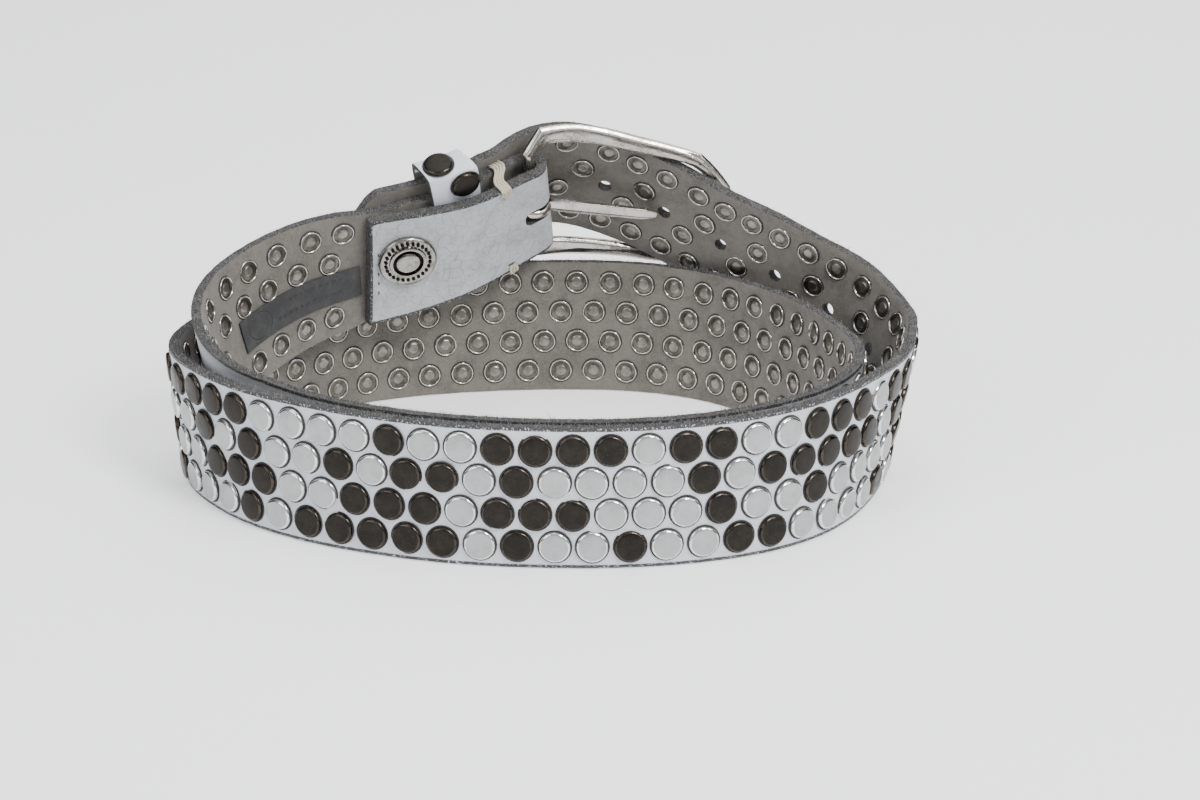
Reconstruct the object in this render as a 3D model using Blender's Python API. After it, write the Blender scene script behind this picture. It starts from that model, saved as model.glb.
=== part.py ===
# A studded leather belt, buckled and coiled in two turns, standing on its lower edge.
# Metres, +Z up, the front of the coil towards -Y, origin on the floor under the middle.

import math

import bmesh
import bpy
import numpy as np
from mathutils import Vector

for thing in list(bpy.data.objects):
    bpy.data.objects.remove(thing, do_unlink=True)

# Leather
BELT_WIDTH = 0.040
LEATHER = 0.0030
FLAP_WIDTH = 0.0368
FLAP_LENGTH = 0.0575
FLAP_SKEW = 0.0040
LAYER_GAP = 0.0005
SNAP_GAP = 0.0006

# Coil
COIL_WIDTH = 0.200
COIL_DEPTH = 0.172
TIP_LENGTH = 0.060
TIP_RISE = 0.002
TIP_ROUND = 0.016

# Studs, on a lattice of four rows
STUD_PITCH = 0.0101
LATTICE_START = 0.0041
ROW_SPACING = 0.0092
STUD_RADIUS = 0.0043
STUD_HEIGHT = 0.0008
STUD_BEVEL = 0.0008
STUD_SIDES = 10
RELIEF_START = 0.500
RELIEF_COLUMNS = 40

# Punched holes
HOLE_COUNT = 7
HOLE_RADIUS = 0.0021
HOLE_STEP = 2

# Buckle
BAR_RADIUS = 0.0020
BAR_GAP = 0.0003
FRAME_LENGTH = 0.055
ARM_HEIGHT = 0.0066
ARM_THICKNESS = 0.0040
ARM_CLEARANCE = 0.0006
PRONG_LENGTH = 0.039
PRONG_WIDTH = 0.0050
PRONG_THICKNESS = 0.0026
SLOT_LENGTH = 0.008
SLOT_CLEARANCE = 0.0015

# Keeper, snap and label
KEEPER_WIDTH = 0.0132
KEEPER_THICKNESS = 0.0016
KEEPER_PLACE = 0.0250
KEEPER_HEADROOM = 0.0044
KEEPER_CLEARANCE = 0.0007
KEEPER_CORNER = 0.0008
SNAP_RADIUS = 0.0082
SNAP_PLACE = 0.0438
SNAP_RISE = 0.0025
LABEL_LENGTH = 0.0446
LABEL_HEIGHT = 0.0102
LABEL_RISE = 0.0010
LABEL_THICKNESS = 0.0006
LABEL_GAP = 0.0004
LABEL_STATIONS = 10
SEAT_GAP = 0.0003

SIDE_MARGIN = (BELT_WIDTH - 3 * ROW_SPACING) / 2
HALF_PITCH = STUD_PITCH / 2
FOLD_RADIUS = BAR_RADIUS + BAR_GAP + LEATHER / 2
FOLD_ARC = math.pi * FOLD_RADIUS
LAYER = LEATHER + LAYER_GAP

# The route of the strap's lower edge, from the bar to where the tip passes the bar again.
# across and along: shares of half the coil's width and depth; lift: share of the belt's
# width above the floor; lean: degrees that the upper edge tips outwards.
ROUTE_COLUMNS = ("across", "along", "lift", "lean")
BUCKLE_END = (
    (-0.015, 0.767, 1.205, -29.0),
    (-0.130, 0.685, 1.065, -25.5),
    (-0.255, 0.590, 0.920, -22.0),
    (-0.385, 0.525, 0.805, -18.5),
    (-0.515, 0.455, 0.725, -15.0),
    (-0.646, 0.343, 0.650, -6.0),
    (-0.773, 0.176, 0.530, 3.0),
    (-0.858, -0.027, 0.390, 8.0),
    (-0.860, -0.250, 0.220, 8.0),
    (-0.774, -0.474, 0.065, 3.0),
    (-0.606, -0.672, 0.010, 1.0),
)
INNER_TURN = (
    (-0.396, -0.816, 0.000, 0.5),
    (-0.190, -0.900, 0.000, 0.0),
    (0.030, -0.940, 0.000, 0.0),
    (0.250, -0.940, 0.000, 0.0),
    (0.460, -0.892, 0.000, 0.0),
    (0.650, -0.785, 0.000, 0.0),
    (0.800, -0.610, 0.000, 2.0),
    (0.885, -0.390, 0.000, 4.0),
    (0.900, -0.170, 0.000, 5.0),
    (0.858, 0.040, 0.000, 4.0),
    (0.776, 0.271, 0.000, 3.0),
    (0.651, 0.479, 0.000, 2.0),
    (0.484, 0.643, 0.000, 2.0),
    (0.279, 0.729, 0.000, 3.0),
    (0.059, 0.745, 0.000, 3.0),
    (-0.160, 0.722, 0.000, 3.0),
    (-0.375, 0.665, 0.000, 1.0),
    (-0.576, 0.560, 0.000, -2.0),
    (-0.752, 0.400, 0.000, 0.0),
    (-0.880, 0.210, 0.000, 4.0),
)
OUTER_TURN = (
    (-0.955, 0.010, 0.000, 6.0),
    (-0.968, -0.190, 0.000, 6.0),
    (-0.900, -0.400, 0.000, 4.0),
    (-0.780, -0.597, 0.000, 2.0),
    (-0.610, -0.764, 0.000, 0.0),
    (-0.412, -0.883, 0.000, 0.0),
    (-0.198, -0.964, 0.000, 0.0),
    (0.029, -1.000, 0.000, 0.0),
    (0.258, -1.000, 0.000, 0.0),
    (0.480, -0.951, 0.000, 0.0),
    (0.683, -0.843, 0.000, 0.0),
    (0.840, -0.660, 0.000, 2.0),
    (0.940, -0.430, 0.000, 6.0),
    (0.997, -0.178, 0.010, 11.0),
    (0.995, 0.030, 0.040, 14.0),
    (0.958, 0.210, 0.120, 17.0),
    (0.884, 0.401, 0.290, 9.0),
    (0.773, 0.535, 0.470, -3.0),
    (0.648, 0.645, 0.660, -13.0),
    (0.511, 0.730, 0.850, -22.0),
    (0.369, 0.790, 1.040, -27.0),
    (0.199, 0.825, 1.210, -30.0),
)


def natural_spline(knots, values, where):
    """Read a natural cubic spline through values at knots, at the places in where."""
    steps = np.diff(knots)
    count = len(knots)
    system = np.eye(count)
    right = np.zeros(values.shape)
    slopes = np.diff(values, axis=0) / steps[:, None]
    for i in range(1, count - 1):
        system[i, i - 1] = steps[i - 1]
        system[i, i] = 2 * (steps[i - 1] + steps[i])
        system[i, i + 1] = steps[i]
        right[i] = 6 * (slopes[i] - slopes[i - 1])
    bends = np.linalg.solve(system, right)
    span = np.clip(np.searchsorted(knots, where) - 1, 0, count - 2)
    width = steps[span][:, None]
    ahead = (knots[span + 1] - where)[:, None] / width
    behind = 1 - ahead
    cubic = (ahead ** 3 - ahead) * bends[span] + (behind ** 3 - behind) * bends[span + 1]
    return ahead * values[span] + behind * values[span + 1] + cubic * width ** 2 / 6


def station_values(rows):
    """Turn rows of shares into metres and radians: x, y, z, lean."""
    table = np.array(rows)
    scale = np.array([COIL_WIDTH / 2, COIL_DEPTH / 2, BELT_WIDTH, math.radians(1)])
    return table * scale


class Ribbon:
    """The strap's middle surface: lower edge, direction, width axis and outward normal."""

    SAMPLES = 40

    def __init__(self, values):
        chords = np.linalg.norm(np.diff(values[:, :3], axis=0), axis=1)
        knots = np.concatenate([[0], np.cumsum(chords)])
        fine = np.linspace(0, knots[-1], self.SAMPLES * (len(knots) - 1) + 1)
        self.points = natural_spline(knots, values, fine)
        lengths = np.linalg.norm(np.diff(self.points[:, :3], axis=0), axis=1)
        self.travel = np.concatenate([[0], np.cumsum(lengths)])
        self.length = self.travel[-1]

    def value(self, s):
        return np.array([np.interp(s, self.travel, column) for column in self.points.T])

    def frame(self, s):
        inside = min(max(s, 0.0), self.length)
        reach = 0.001
        before = self.value(max(inside - reach, 0.0))
        after = self.value(min(inside + reach, self.length))
        tangent = Vector(after[:3] - before[:3]).normalized()
        here = self.value(inside)
        upright = (Vector((0, 0, 1)) - tangent * tangent.z).normalized()
        outward = tangent.cross(upright)
        lean = here[3]
        width_axis = upright * math.cos(lean) + outward * math.sin(lean)
        normal = outward * math.cos(lean) - upright * math.sin(lean)
        base = Vector(here[:3]) + tangent * (s - inside)
        return base, tangent, width_axis, normal

    def at(self, s, v, h):
        base, tangent, width_axis, normal = self.frame(s)
        return base + width_axis * v + normal * h


def build_route():
    """The whole ribbon; past the bar the tip rides on the buckle end's outer side."""
    rows = station_values(BUCKLE_END + INNER_TURN + OUTER_TURN)
    first = Ribbon(rows)
    ride = []
    for place in np.linspace(0, TIP_LENGTH, 9):
        point = first.at(place, TIP_RISE, LAYER)
        ride.append([*point, first.value(place)[3]])
    return Ribbon(np.vstack([rows, ride]))


ROUTE = build_route()


def bar_pass():
    """Distance along the route where the strap passes the bar the second time."""
    bar_point = ROUTE.at(0, TIP_RISE, LAYER)
    late = ROUTE.travel > ROUTE.length * 0.8
    away = np.linalg.norm(ROUTE.points[late, :3] - np.array(bar_point), axis=1)
    return float(ROUTE.travel[late][np.argmin(away)])


BAR_PASS = bar_pass()


def flap_offset(place):
    """Distance from the buckle end's middle surface to the folded flap's."""
    tight = LEATHER + SNAP_GAP
    share = min(max(place / FLAP_LENGTH, 0.0), 1.0)
    return tight + (2 * FOLD_RADIUS - tight) * (1 - share * share)


def strap_point(s, v, h):
    """Carry a point of the flat strap to the coil; negative s is the fold and the flap."""
    if s >= 0:
        return ROUTE.at(s, v, h)
    if s > -FOLD_ARC:
        base, tangent, width_axis, normal = ROUTE.frame(0)
        angle = -s / FOLD_RADIUS
        spoke = normal * math.cos(angle) - tangent * math.sin(angle)
        axis = base - normal * FOLD_RADIUS + width_axis * v
        return axis + spoke * (FOLD_RADIUS + h)
    place = -s - FOLD_ARC
    place += FLAP_SKEW * (0.5 - v / BELT_WIDTH) * place / FLAP_LENGTH
    base, tangent, width_axis, normal = ROUTE.frame(place)
    return base + width_axis * v - normal * (flap_offset(place) + h)


def strap_width(s):
    """Width of the leather: narrower at the fold, rounded at the tip."""
    left = ROUTE.length - s
    if left < TIP_ROUND:
        share = 1 - left / TIP_ROUND
        return BELT_WIDTH * math.sqrt(max(1 - 0.9 * share * share, 0))
    narrow_until = FLAP_LENGTH - KEEPER_WIDTH / 2
    share = min(max((s - narrow_until) / KEEPER_WIDTH, 0.0), 1.0)
    return FLAP_WIDTH + (BELT_WIDTH - FLAP_WIDTH) * share


def add_object(name, mesh, material):
    thing = bpy.data.objects.new(name, mesh)
    bpy.context.scene.collection.objects.link(thing)
    mesh.materials.append(material)
    return thing


def mesh_from(bm, name):
    mesh = bpy.data.meshes.new(name)
    bmesh.ops.recalc_face_normals(bm, faces=bm.faces)
    bm.to_mesh(mesh)
    bm.free()
    return mesh


def make_material(name, colour, roughness, metallic):
    material = bpy.data.materials.new(name)
    material.use_nodes = True
    shader = material.node_tree.nodes["Principled BSDF"]
    shader.inputs["Base Color"].default_value = (*colour, 1)
    shader.inputs["Roughness"].default_value = roughness
    shader.inputs["Metallic"].default_value = metallic
    return material


def row_lines():
    """Shares of the width where one row of studs ends and the next begins."""
    inner = [SIDE_MARGIN + (row + 0.5) * ROW_SPACING for row in range(3)]
    return [0.0] + [line / BELT_WIDTH for line in inner] + [1.0]


def stations():
    """Distances of the flat strap's cross lines, and the index of the lattice's first."""
    flap = list(np.linspace(-FOLD_ARC - FLAP_LENGTH, -FOLD_ARC, 8))
    fold = list(np.linspace(-FOLD_ARC, 0, 9))[1:]
    count = int((ROUTE.length - TIP_ROUND - LATTICE_START) / HALF_PITCH)
    lattice = [LATTICE_START + HALF_PITCH * k for k in range(1, count + 1)]
    rounded = ROUTE.length - TIP_ROUND * (1 - np.sin(np.radians([30, 55, 75, 90])))
    return flap + fold + lattice + list(rounded), len(flap) + len(fold) - 1


def in_width(s, share):
    return BELT_WIDTH / 2 + (share - 0.5) * strap_width(s)


def add_stud(bm, outline, s, v):
    """Fill a brick of the grain side round a stud and return the stud's flat top."""
    turn = 2 * math.pi / STUD_SIDES
    ring = []
    for k in range(STUD_SIDES):
        angle = turn * (k + 0.5)
        across = STUD_RADIUS * math.cos(angle)
        up = STUD_RADIUS * math.sin(angle)
        ring.append(bm.verts.new((s + across, v + up, LEATHER / 2)))
    edges = []
    for loop in (outline, ring):
        for a, b in zip(loop, loop[1:] + loop[:1]):
            edges.append(bm.edges.get((a, b)) or bm.edges.new((a, b)))
    bmesh.ops.triangle_fill(bm, use_beauty=True, edges=edges)
    return bm.faces.new(ring)


def flat_strap():
    """The strap laid out flat, grain side up, with the studs of the outer turn raised."""
    bm = bmesh.new()
    places, zero = stations()
    lines = row_lines()
    top = LEATHER / 2
    grain = [[bm.verts.new((s, in_width(s, share), top)) for share in lines] for s in places]
    flesh = [[bm.verts.new((s, in_width(s, share), -top)) for share in (0, 1)] for s in places]
    first_column = zero + 2 * round(RELIEF_START * BAR_PASS / STUD_PITCH)
    last_column = min(first_column + 2 * RELIEF_COLUMNS, len(places) - 8)
    tops = []
    for row in range(4):
        centre = SIDE_MARGIN + row * ROW_SPACING
        start = first_column + row % 2
        column = 0
        while column < len(places) - 1:
            if start <= column < last_column:
                low = [grain[column + k][row] for k in range(3)]
                high = [grain[column + k][row + 1] for k in (2, 1, 0)]
                tops.append(add_stud(bm, low + high, places[column + 1], centre))
                column += 2
            else:
                a = grain[column]
                b = grain[column + 1]
                bm.faces.new((a[row], b[row], b[row + 1], a[row + 1]))
                column += 1
    for column in range(len(places) - 1):
        a = flesh[column]
        b = flesh[column + 1]
        bm.faces.new((a[0], a[1], b[1], b[0]))
        for side, edge in ((0, 0), (1, -1)):
            bm.faces.new((grain[column][edge], a[side], b[side], grain[column + 1][edge]))
    for end in (0, -1):
        bm.faces.new(grain[end] + flesh[end][::-1])
    bmesh.ops.inset_region(bm, faces=tops, thickness=STUD_BEVEL, depth=STUD_HEIGHT)
    return mesh_from(bm, "strap")


def hole_places():
    """Distances of the punched holes, each where a stud of both middle rows is left out."""
    first = 2 * round((BAR_PASS - LATTICE_START) / STUD_PITCH) - 0.5
    places = [first - 2 * HOLE_STEP * k for k in range(HOLE_COUNT)]
    return [LATTICE_START + HALF_PITCH * place for place in places]


def cut_flat(strap):
    """Punch the holes and the prong's slot through the flat strap."""
    bm = bmesh.new()
    for s in hole_places():
        made = bmesh.ops.create_cone(
            bm, cap_ends=True, segments=12, radius1=HOLE_RADIUS, radius2=HOLE_RADIUS,
            depth=3 * LEATHER)
        bmesh.ops.translate(bm, verts=made["verts"], vec=(s, BELT_WIDTH / 2, 0))
    made = bmesh.ops.create_cube(bm, size=1)
    slot_start = -FOLD_ARC - SLOT_LENGTH
    slot_end = SLOT_LENGTH
    size = (slot_end - slot_start, PRONG_WIDTH + 2 * SLOT_CLEARANCE, 3 * LEATHER)
    bmesh.ops.scale(bm, verts=made["verts"], vec=size)
    middle = ((slot_start + slot_end) / 2, BELT_WIDTH / 2, 0)
    bmesh.ops.translate(bm, verts=made["verts"], vec=middle)
    cutter = bpy.data.objects.new("strap_cutter", mesh_from(bm, "strap_cutter"))
    bpy.context.scene.collection.objects.link(cutter)
    cutter.hide_render = True
    cutter.display_type = "WIRE"
    cut = strap.modifiers.new("cuts", "BOOLEAN")
    cut.operation = "DIFFERENCE"
    cut.object = cutter
    bpy.context.view_layer.update()
    evaluated = strap.evaluated_get(bpy.context.evaluated_depsgraph_get())
    result = bpy.data.meshes.new_from_object(evaluated)
    strap.modifiers.remove(cut)
    bpy.data.objects.remove(cutter)
    return result


def rests_on_floor(s):
    return s > 0 and ROUTE.value(s)[2] < 0.0002


def build_strap(material):
    mesh = flat_strap()
    strap = add_object("strap", mesh, material)
    strap.data = cut_flat(strap)
    for vertex in strap.data.vertices:
        s, v, h = vertex.co
        point = strap_point(s, v, h)
        if v < 1e-5 and rests_on_floor(s):
            point.z = 0
        point.z = max(point.z, 0)
        vertex.co = point
    return strap


def ring_mesh(name, loops, closed):
    """Skin a row of equal loops of points; closed joins the last loop to the first."""
    bm = bmesh.new()
    rings = [[bm.verts.new(point) for point in loop] for loop in loops]
    pairs = list(zip(rings, rings[1:]))
    if closed:
        pairs.append((rings[-1], rings[0]))
    for a, b in pairs:
        for k in range(len(a)):
            n = (k + 1) % len(a)
            bm.faces.new((a[k], a[n], b[n], b[k]))
    if not closed:
        bm.faces.new(rings[0][::-1])
        bm.faces.new(rings[-1])
    return mesh_from(bm, name)


def buckle_point(along, v, h):
    """A place in the buckle, from the bar towards the far crossbar, on the strap inside it."""
    if along < BAR_RADIUS:
        base, tangent, width_axis, normal = ROUTE.frame(0)
        offset = h + LAYER
        return base - tangent * along + width_axis * (v + TIP_RISE) + normal * offset
    return ROUTE.at(BAR_PASS - along, v, h)


def smooth_step(share):
    share = min(max(share, 0.0), 1.0)
    return share * share * (3 - 2 * share)


BAR_DEPTH = -(LAYER + FOLD_RADIUS)
CROSSBAR_DEPTH = LEATHER / 2 + 2 * ARM_CLEARANCE + ARM_THICKNESS / 2


def frame_path():
    """Rows of the buckle's ring: along, v, half size in the plane, half thickness."""
    far = FRAME_LENGTH
    half = ARM_HEIGHT / 2
    thick = ARM_THICKNESS / 2
    rows = []
    for share in (0.08, 0.3, 0.5, 0.7, 0.92):
        rows.append((0, share * BELT_WIDTH, BAR_RADIUS, BAR_RADIUS))
    rows.append((0, BELT_WIDTH + ARM_CLEARANCE, BAR_RADIUS * 1.15, thick))
    for share in (0.045, 0.12, 0.22, 0.34, 0.46, 0.58, 0.7, 0.8, 0.9):
        size = half * (1.15 - 0.5 * share)
        drop = ARM_HEIGHT * smooth_step((share - 0.78) / 0.22)
        rows.append((share * far, BELT_WIDTH + ARM_CLEARANCE + size - drop, size, thick))
    rows.append((0.97 * far, BELT_WIDTH - ARM_HEIGHT * 0.7, half * 0.85, thick))
    for share in (0.72, 0.57, 0.43, 0.28):
        rows.append((far * 1.01, share * BELT_WIDTH, half * 0.8, thick))
    arm = rows[5:16]
    return rows + [(along, BELT_WIDTH - v, size, width) for along, v, size, width in arm[::-1]]


def frame_depth(along):
    return BAR_DEPTH + (CROSSBAR_DEPTH - BAR_DEPTH) * smooth_step((along / FRAME_LENGTH) ** 1.3)


def build_frame(material):
    rows = frame_path()
    centres = []
    for along, v, size, width in rows:
        centres.append(buckle_point(along, v, frame_depth(along)))
    loops = []
    count = len(rows)
    for i, (along, v, size, width) in enumerate(rows):
        ahead = (centres[(i + 1) % count] - centres[i - 1]).normalized()
        if along < BAR_RADIUS:
            normal = ROUTE.frame(0)[3]
        else:
            normal = ROUTE.frame(BAR_PASS - along)[3]
        side = ahead.cross(normal).normalized()
        normal = side.cross(ahead).normalized()
        loop = []
        for k in range(10):
            angle = 2 * math.pi * k / 10
            loop.append(centres[i] + side * (size * math.cos(angle))
                        + normal * (width * math.sin(angle)))
        loops.append(loop)
    return add_object("buckle_frame", ring_mesh("buckle_frame", loops, True), material)


def build_prong(material):
    base, tangent, width_axis, normal = ROUTE.frame(0)
    axis = base - normal * FOLD_RADIUS + width_axis * (BELT_WIDTH / 2)
    inner = BAR_RADIUS + BAR_GAP
    outer = inner + PRONG_THICKNESS
    half = PRONG_WIDTH / 2
    loops = []
    for k in range(16):
        angle = 2 * math.pi * k / 16
        spoke = normal * math.cos(angle) - tangent * math.sin(angle)
        corners = ((inner, -half), (outer, -half * 0.8), (outer, half * 0.8), (inner, half))
        loops.append([axis + spoke * r + width_axis * w for r, w in corners])
    ring = add_object("buckle_prong", ring_mesh("buckle_prong", loops, True), material)
    touch = -LEATHER / 2 - 2 * BAR_GAP - PRONG_THICKNESS / 2
    tip = ROUTE.at(BAR_PASS - PRONG_LENGTH, BELT_WIDTH / 2, touch)
    away = (tip - axis).normalized()
    flat = away.cross(width_axis).normalized()
    loops = []
    for share, wide in ((0.0, 1.0), (0.25, 1.0), (0.8, 0.9), (0.96, 0.75), (1.0, 0.4)):
        start = axis + away * (inner + PRONG_THICKNESS * 0.4)
        centre = start + (tip - start) * share
        loop = []
        for k in range(10):
            angle = 2 * math.pi * (k + 0.5) / 10
            loop.append(centre + width_axis * (half * wide * math.cos(angle))
                        + flat * (PRONG_THICKNESS / 2 * wide * math.sin(angle)))
        loops.append(loop)
    shank = add_object("prong_shank", ring_mesh("prong_shank", loops, False), material)
    shank.hide_render = True
    shank.display_type = "WIRE"
    join = ring.modifiers.new("shank", "BOOLEAN")
    join.operation = "UNION"
    join.object = shank
    return ring


def keeper_outline(grow):
    """Points (v, h) of a rounded band round the buckle end and the tip."""
    low = -KEEPER_CLEARANCE - grow
    high = BELT_WIDTH + TIP_RISE + KEEPER_HEADROOM + grow
    back = -LEATHER / 2 - KEEPER_CLEARANCE - grow
    front = LAYER + LEATHER / 2 + KEEPER_CLEARANCE + grow
    radius = KEEPER_CORNER + grow
    points = []
    corners = ((high, front, 0), (low, front, 90), (low, back, 180), (high, back, 270))
    for v, h, start in corners:
        v_centre = v - math.copysign(radius, v - BELT_WIDTH / 2)
        h_centre = h - math.copysign(radius, h - LAYER / 2)
        for step in (0, 45, 90):
            angle = math.radians(start + step)
            points.append((v_centre + radius * math.cos(angle), h_centre + radius * math.sin(angle)))
        if start in (0, 180):
            for share in (0.25, 0.5, 0.75):
                points.append((v_centre + (high + low - 2 * v_centre) * share, h))
    return points


def build_keeper(material):
    inner = keeper_outline(0)
    outer = keeper_outline(KEEPER_THICKNESS)
    places = [KEEPER_PLACE + KEEPER_WIDTH * share for share in (-0.5, -0.17, 0.17, 0.5)]
    loops = []
    for (v_in, h_in), (v_out, h_out) in zip(inner, outer):
        loop = [ROUTE.at(s, v_in, h_in) for s in places]
        loop += [ROUTE.at(s, v_out, h_out) for s in reversed(places)]
        loops.append(loop)
    return add_object("keeper_loop", ring_mesh("keeper_loop", loops, True), material)


# The snap from its middle outwards: share of its radius, height in millimetres.
SNAP_PROFILE = ((0.30, 1.5), (0.36, 1.2), (0.36, 0.9), (0.42, 0.9), (0.46, 1.6), (0.54, 1.6),
                (0.58, 0.9), (0.88, 0.9), (0.93, 1.2), (0.98, 1.1), (1.00, 0.6))


def build_snap(material):
    bm = bmesh.new()
    segments = 20
    rings = []
    for share, height in SNAP_PROFILE + ((1.0, 0.0),):
        ring = []
        for k in range(segments):
            angle = 2 * math.pi * k / segments
            x = share * SNAP_RADIUS * math.cos(angle)
            y = share * SNAP_RADIUS * math.sin(angle)
            ring.append(bm.verts.new((x, y, height * 0.001)))
        rings.append(ring)
    for a, b in zip(rings, rings[1:]):
        for k in range(segments):
            n = (k + 1) % segments
            bm.faces.new((a[k], b[k], b[n], a[n]))
    bm.faces.new(rings[0])
    bm.faces.new(rings[-1][::-1])
    snap = add_object("snap_button", mesh_from(bm, "snap_button"), material)
    s = -FOLD_ARC - SNAP_PLACE
    v = BELT_WIDTH / 2 + SNAP_RISE
    seat = strap_point(s, v, LEATHER / 2 + SNAP_GAP)
    along = strap_point(s + SNAP_RADIUS, v, 0) - strap_point(s - SNAP_RADIUS, v, 0)
    upward = strap_point(s, v + SNAP_RADIUS, 0) - strap_point(s, v - SNAP_RADIUS, 0)
    snap.rotation_mode = "QUATERNION"
    snap.rotation_quaternion = Vector((0, 0, 1)).rotation_difference(along.cross(upward))
    snap.location = seat
    return snap


def build_label(material):
    low = SIDE_MARGIN + ROW_SPACING + LABEL_RISE - LABEL_HEIGHT / 2
    high = low + LABEL_HEIGHT
    near = -LEATHER / 2 - LABEL_GAP
    far = near - LABEL_THICKNESS
    start = FLAP_LENGTH + FLAP_SKEW / 2 + 2 * SEAT_GAP
    loops = []
    for s in np.linspace(start, start + LABEL_LENGTH, LABEL_STATIONS):
        corners = ((low, near), (high, near), (high, far), (low, far))
        loops.append([ROUTE.at(s, v, h) for v, h in corners])
    return add_object("size_label", ring_mesh("size_label", loops, False), material)


def centre_on_floor(things):
    """Put the origin under the middle of everything's bounding box."""
    bpy.context.view_layer.update()
    points = []
    for thing in things:
        points += [thing.matrix_world @ vertex.co for vertex in thing.data.vertices]
    low = Vector([min(point[axis] for point in points) for axis in range(3)])
    high = Vector([max(point[axis] for point in points) for axis in range(3)])
    middle = (low + high) / 2
    for thing in things:
        thing.location -= Vector((middle.x, middle.y, low.z))


build_strap(make_material("pale leather", (0.62, 0.65, 0.69), 0.6, 0.0))
build_frame(make_material("antique silver", (0.60, 0.57, 0.53), 0.35, 1.0))
build_prong(make_material("prong silver", (0.62, 0.59, 0.55), 0.35, 1.0))
build_keeper(make_material("white leather", (0.74, 0.76, 0.80), 0.6, 0.0))
build_snap(make_material("snap nickel", (0.64, 0.60, 0.54), 0.35, 1.0))
build_label(make_material("dark grey label", (0.05, 0.055, 0.065), 0.7, 0.0))
centre_on_floor(list(bpy.context.scene.objects))
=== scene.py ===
import math
import random

import bmesh
import bpy
import numpy as np
from mathutils import Matrix, Vector, noise


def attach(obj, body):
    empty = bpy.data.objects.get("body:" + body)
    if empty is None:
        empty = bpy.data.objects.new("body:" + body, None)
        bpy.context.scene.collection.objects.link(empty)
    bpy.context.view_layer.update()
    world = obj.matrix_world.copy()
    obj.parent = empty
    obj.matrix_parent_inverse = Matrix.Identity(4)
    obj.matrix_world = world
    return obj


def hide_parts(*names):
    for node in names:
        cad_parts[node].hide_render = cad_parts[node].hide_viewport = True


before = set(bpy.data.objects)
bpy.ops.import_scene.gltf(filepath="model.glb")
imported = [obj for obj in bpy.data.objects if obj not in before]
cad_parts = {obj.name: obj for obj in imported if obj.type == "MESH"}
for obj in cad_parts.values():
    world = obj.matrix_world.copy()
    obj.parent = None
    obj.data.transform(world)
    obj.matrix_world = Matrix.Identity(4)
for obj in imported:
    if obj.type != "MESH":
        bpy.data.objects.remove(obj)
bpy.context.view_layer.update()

print("belt frame loaded")


# the belt's course

# rows: shares of the coil's half width and half depth, lift as a share of the belt's
# width, lean of the upper edge outwards in degrees
coil = {
    "beltWidth": 0.040,
    "leather": 0.0030,
    "layerGap": 0.0005,
    "halfWidth": 0.100,
    "halfDepth": 0.086,
    "shift": (-0.0042899, 0.0075004, 0.0),
    "tipLength": 0.060,
    "tipRise": 0.002,
    "tipRound": 0.016,
    "foldRadius": 0.0038,
    "flapLength": 0.0575,
    "flapWidth": 0.0368,
    "flapSkew": 0.004,
    "snapGap": 0.0006,
    "keeperWidth": 0.0132,
    "rows": [
        (-0.015, 0.767, 1.205, -29), (-0.13, 0.685, 1.065, -25.5), (-0.255, 0.59, 0.92, -22),
        (-0.385, 0.525, 0.805, -18.5), (-0.515, 0.455, 0.725, -15), (-0.646, 0.343, 0.65, -6),
        (-0.773, 0.176, 0.53, 3), (-0.858, -0.027, 0.39, 8), (-0.86, -0.25, 0.22, 8),
        (-0.774, -0.474, 0.065, 3), (-0.606, -0.672, 0.01, 1), (-0.396, -0.816, 0, 0.5),
        (-0.19, -0.9, 0, 0), (0.03, -0.94, 0, 0), (0.25, -0.94, 0, 0), (0.46, -0.892, 0, 0),
        (0.65, -0.785, 0, 0), (0.8, -0.61, 0, 2), (0.885, -0.39, 0, 4), (0.9, -0.17, 0, 5),
        (0.858, 0.04, 0, 4), (0.776, 0.271, 0, 3), (0.651, 0.479, 0, 2), (0.484, 0.643, 0, 2),
        (0.279, 0.729, 0, 3), (0.059, 0.745, 0, 3), (-0.16, 0.722, 0, 3), (-0.375, 0.665, 0, 1),
        (-0.576, 0.56, 0, -2), (-0.752, 0.4, 0, 0), (-0.88, 0.21, 0, 4), (-0.955, 0.01, 0, 6),
        (-0.968, -0.19, 0, 6), (-0.9, -0.4, 0, 4), (-0.78, -0.597, 0, 2), (-0.61, -0.764, 0, 0),
        (-0.412, -0.883, 0, 0), (-0.198, -0.964, 0, 0), (0.029, -1, 0, 0), (0.258, -1, 0, 0),
        (0.48, -0.951, 0, 0), (0.683, -0.843, 0, 0), (0.84, -0.66, 0, 2), (0.94, -0.43, 0, 6),
        (0.997, -0.178, 0.01, 11), (0.995, 0.03, 0.04, 14), (0.958, 0.21, 0.12, 17),
        (0.884, 0.401, 0.29, 9), (0.773, 0.535, 0.47, -3), (0.648, 0.645, 0.66, -13),
        (0.511, 0.73, 0.85, -22), (0.369, 0.79, 1.04, -27), (0.199, 0.825, 1.21, -30),
    ],
}


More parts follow.
